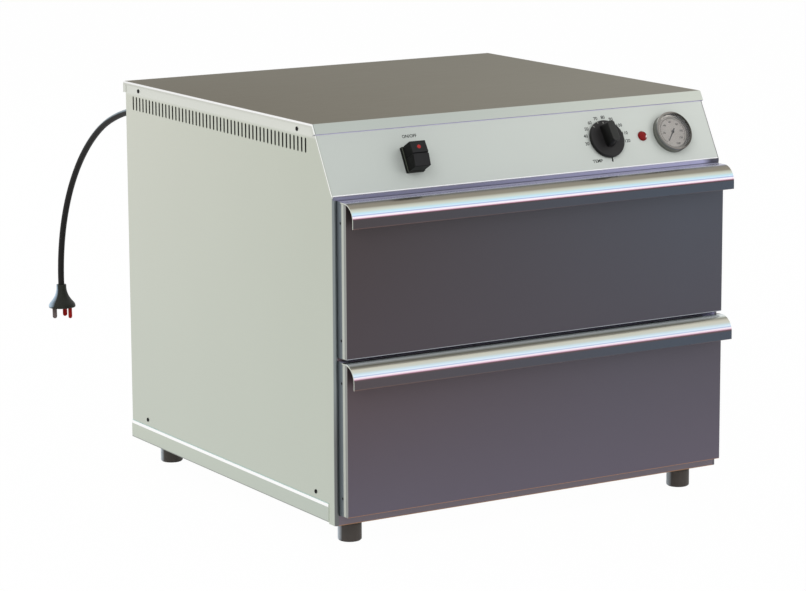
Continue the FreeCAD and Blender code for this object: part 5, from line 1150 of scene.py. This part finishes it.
# On the collar and the cap, faces towards the left and the cap's downward faces are painted dark as painted
# shade, and the collar's edge towards the slope corner carries a painted highlight.
switch_plastic = moulded(
    "switch_plastic", linear(34, 35, 32), linear(46, 47, 43), 0.5, specular=0.10, patches=[
        facing_patch(linear(14, 15, 13), to_left, 0.6, 0.3),
        facing_patch(linear(108, 116, 100), slope_corner, 0.96, 0.03)])
rocker_plastic = moulded(
    "rocker_plastic", linear(34, 34, 35), linear(44, 44, 45), 0.5, specular=0.10, patches=[
        facing_patch(linear(11, 11, 10), to_left, 0.6, 0.3),
        facing_patch(linear(14, 13, 14), (0, -0.5, -0.85), 0.35, 0.3)])
switch_light = moulded("switch_light", linear(158, 30, 30), linear(176, 44, 40), 0.4, specular=0.3)
add_to_panel("switch_collar", build_collar, switch_plastic, "cabinet", "black_plastic", "switch_housing",
             across=switch_across, up=switch_up)
add_to_panel("rocker_cap", build_rocker, rocker_plastic, "rocker", "black_rocker", "switch_rocker",
             across=switch_across, up=switch_up)
rocker_light = add_to_panel("rocker_light", build_rocker_light, switch_light, "rocker", "red_dot",
                            "rocker_lens", across=switch_across, up=switch_up)
smooth(rocker_light, 60)


# ---- Pilot lamp -------------------------------------------------------------------
# A round red lens in a thin flange, snapped through the panel into a black holder.

def build_lens(shape):
    """The thin flange and the domed lens in one."""
    profile = [(0.0055, -0.001), (0.0067, 0.0), (0.0070, 0.0003), (0.0070, 0.0010), (0.0066, 0.0013),
               (0.0064, 0.0018)]
    for step in range(1, 13):
        angle = math.radians(90 * step / 12)
        profile.append((0.0064 * math.cos(angle) if step < 12 else 0, 0.0018 + 0.0028 * math.sin(angle)))
    turn_profile(shape, profile)


lens_red, lens_shader = principled("lens_red", linear(120, 10, 12), 0.14)
lens_shader.inputs["Coat Weight"].default_value = 0.1
lens_shader.inputs["Coat Roughness"].default_value = 0.06
lens_shader.inputs["Specular IOR Level"].default_value = 0.15
tree = lens_red.node_tree
lens_speckle = add_node(tree, "ShaderNodeGroup", node_tree=speckle_group)
lens_speckle.inputs["Tone"].default_value = linear(112, 6, 8)
lens_speckle.inputs["Paler Tone"].default_value = linear(138, 14, 16)
lens_speckle.inputs["Grain Size"].default_value = 700
lens_speckle.inputs["Gloss"].default_value = 0.08
highlight = [facing_patch(linear(255, 240, 238), (0.36, -0.90, 0.26), 0.984, 0.008),
             facing_patch(linear(255, 240, 238), (0.60, -0.76, 0.26), 0.962, 0.014)]
tree.links.new(patched(tree, lens_speckle.outputs["Colour"], highlight), lens_shader.inputs["Base Color"])
tree.links.new(lens_speckle.outputs["Roughness"], lens_shader.inputs["Roughness"])
pilot = add_to_panel("pilot_dome", build_lens, lens_red, "cabinet", "red_lens", "pilot_lens",
                     across=0.1937, up=0.0432)
smooth(pilot, 40)
holder_plastic = moulded("holder_plastic", linear(44, 44, 44), linear(56, 56, 56), 0.5)
finish_nodes(holder_plastic, "pilot_holder")


# ---- Dial thermometer -------------------------------------------------------------
# A round thermometer in a deep polished steel case: a rolled rim, a flat glass, a pale
# dial inside a turned ring, and a slim dark needle on a boss.

def build_case(shape):
    """The deep case with its flange and rolled rim, turned in one profile."""
    profile = [
        (0.0020, -0.0150), (0.0240, -0.0150), (0.0245, -0.0145), (0.0245, 0.0), (0.0276, 0.0),
        (0.0282, 0.0005), (0.0282, 0.0054), (0.0279, 0.0056), (0.0279, 0.0062), (0.0282, 0.0064),
        (0.0282, 0.0106), (0.0280, 0.0112), (0.0277, 0.0115), (0.0275, 0.0116), (0.0273, 0.0116),
        (0.0253, 0.0110), (0.0254, 0.01095), (0.0262, 0.01095), (0.0262, 0.0098), (0.0252, 0.0098),
        (0.0251, 0.0094), (0.0251, 0.0074), (0.0246, 0.0067), (0.0219, 0.0064), (0.0219, 0.0052),
        (0.0020, 0.0052),
    ]
    turn_profile(shape, profile, steps=128)


def build_dial(shape):
    """The flat dial, just inside the case."""
    profile = [(0, 0.0060), (0.0150, 0.0060), (0.0216, 0.0060), (0.0218, 0.0058), (0.0218, 0.0053)]
    turn_profile(shape, profile, steps=96)


def build_dial_marks(shape):
    """The printed arc with its short strokes, open at the bottom."""
    arc_start = -135    # degrees from the top of the dial
    arc_inside, arc_outside = 0.0193, 0.0206
    for step in range(90):
        first, second = (math.radians(arc_start + 3 * (step + part)) for part in (0, 1))
        corners = ((arc_inside, first), (arc_outside, first), (arc_outside, second), (arc_inside, second))
        shape.faces.new([shape.verts.new((radius * math.sin(angle), radius * math.cos(angle), 0.00605))
                         for radius, angle in corners])
    for step in range(28):
        angle = math.radians(arc_start + 10 * step)
        reach = 0.0030 if step % 4 == 0 else 0.0016
        out = Vector((math.sin(angle), math.cos(angle), 0))
        side = Vector((out.y, -out.x, 0)) * (0.00040 if step % 4 == 0 else 0.00020)
        base = out * 0.0200 + Vector((0, 0, 0.00606))
        tip = base - out * reach
        shape.faces.new([shape.verts.new(base + side), shape.verts.new(base - side),
                         shape.verts.new(tip - side), shape.verts.new(tip + side)])


def build_needle(shape):
    """A slim pointer with a short tail, on a round boss."""
    lift = 0.0064
    outline = [(-0.0009, -0.0060), (0.0009, -0.0060), (0.0010, 0.0), (0.00045, 0.0166), (0, 0.0170),
               (-0.00045, 0.0166), (-0.0010, 0.0)]
    low = [shape.verts.new((x, y, lift)) for x, y in outline]
    high = [shape.verts.new((x * 0.8, y, lift + 0.0004)) for x, y in outline]
    shape.faces.new(low[::-1])
    shape.faces.new(high)
    for number in range(len(outline)):
        after = (number + 1) % len(outline)
        shape.faces.new((low[number], low[after], high[after], high[number]))
    boss = [(0.0020, lift - 0.0002), (0.0020, lift + 0.0006), (0.0016, lift + 0.0010),
            (0.0008, lift + 0.0012), (0, lift + 0.0012)]
    turn_profile(shape, boss, steps=40)


# The case's tones and patches are painted reflection and shade: lighter towards the right, a darker outer
# wall, a grey inner ring, a dark ring and a dark crescent on the right, and painted glints on the rim at the
# upper left.
case_painted_reflections = brushed_sheet(
    "case_painted_reflections", [linear(118, 118, 118), linear(176, 177, 174), linear(120, 120, 120)],
    across=(to_right, 0.212, 0.262), down=(downwards, -0.53, -0.48), stretch=(500, 500, 500), gloss=0.3,
    metallic=0.7, patches=[
        placed_patch(linear(104, 106, 100), slope_out, high=0.4750, soft=0.0002),
        facing_patch(linear(138, 134, 128), slope_out, 0.6, 0.15),
        facing_patch(linear(78, 76, 71), slope_out, 0.9, 0.05, to_right, low=0.2440, soft=0.010),
        facing_patch(linear(38, 35, 31), (-1, -0.5, -0.6), 0.25, 0.1, to_right, low=0.2394, soft=0.006),
        facing_patch(linear(232, 232, 227), (-0.66, 0.2, 0.72), 0.92, 0.05, slope_out, low=0.4750,
                     soft=0.0004)])
dial_paint = moulded("dial_paint", linear(172, 167, 161), linear(184, 179, 173), 0.55, grain=2000)
dial_scale = moulded("dial_scale", linear(122, 118, 112), linear(134, 130, 124), 0.6, specular=0.15)
dial_ink = moulded("dial_ink", linear(38, 36, 38), linear(50, 48, 50), 0.6, specular=0.15)
needle_paint = moulded("needle_black", linear(66, 65, 67), linear(78, 77, 79), 0.5, specular=0.2)
dial_across, dial_up = 0.2414, 0.0432
case = add_to_panel("gauge_body", build_case, case_painted_reflections, "cabinet", "polished_bezel", "gauge_case",
                    across=dial_across, up=dial_up)
dial = add_to_panel("gauge_plate", build_dial, dial_paint, "cabinet", "pale_dial", "gauge_dial",
                    across=dial_across, up=dial_up)
add_to_panel("gauge_marks", build_dial_marks, dial_scale, "cabinet", "pale_dial",
             across=dial_across, up=dial_up)
needle = add_to_panel("gauge_pointer", build_needle, needle_paint, "needle", "needle_paint", "gauge_needle",
                      across=dial_across, up=dial_up, turn=math.radians(141))
smooth(case, 32)
smooth(dial, 32)
smooth(needle, 32)
numbers_radius, ink_lift = 0.0146, 0.00607
for number, degrees in ((0, -139), (20, -92), (40, -46), (60, -2), (80, 44), (100, 88), (120, 130)):
    angle = math.radians(degrees)
    place = (dial_across + numbers_radius * math.sin(angle), dial_up + numbers_radius * math.cos(angle))
    print_words(f"dial_{number}", str(number), place, 0.0031, lift=ink_lift, ink=dial_ink)
print_words("dial_word", "TEMP", (0.2452, 0.0257), 0.0026, 0.0076, lift=ink_lift, ink=dial_ink)
glass, glass_shader = principled("dial_glass", (1, 1, 1, 1), 0.03)
glass_shader.inputs["Transmission Weight"].default_value = 1.0
glass_shader.inputs["IOR"].default_value = 1.45
finish_nodes(glass, "gauge_glass")
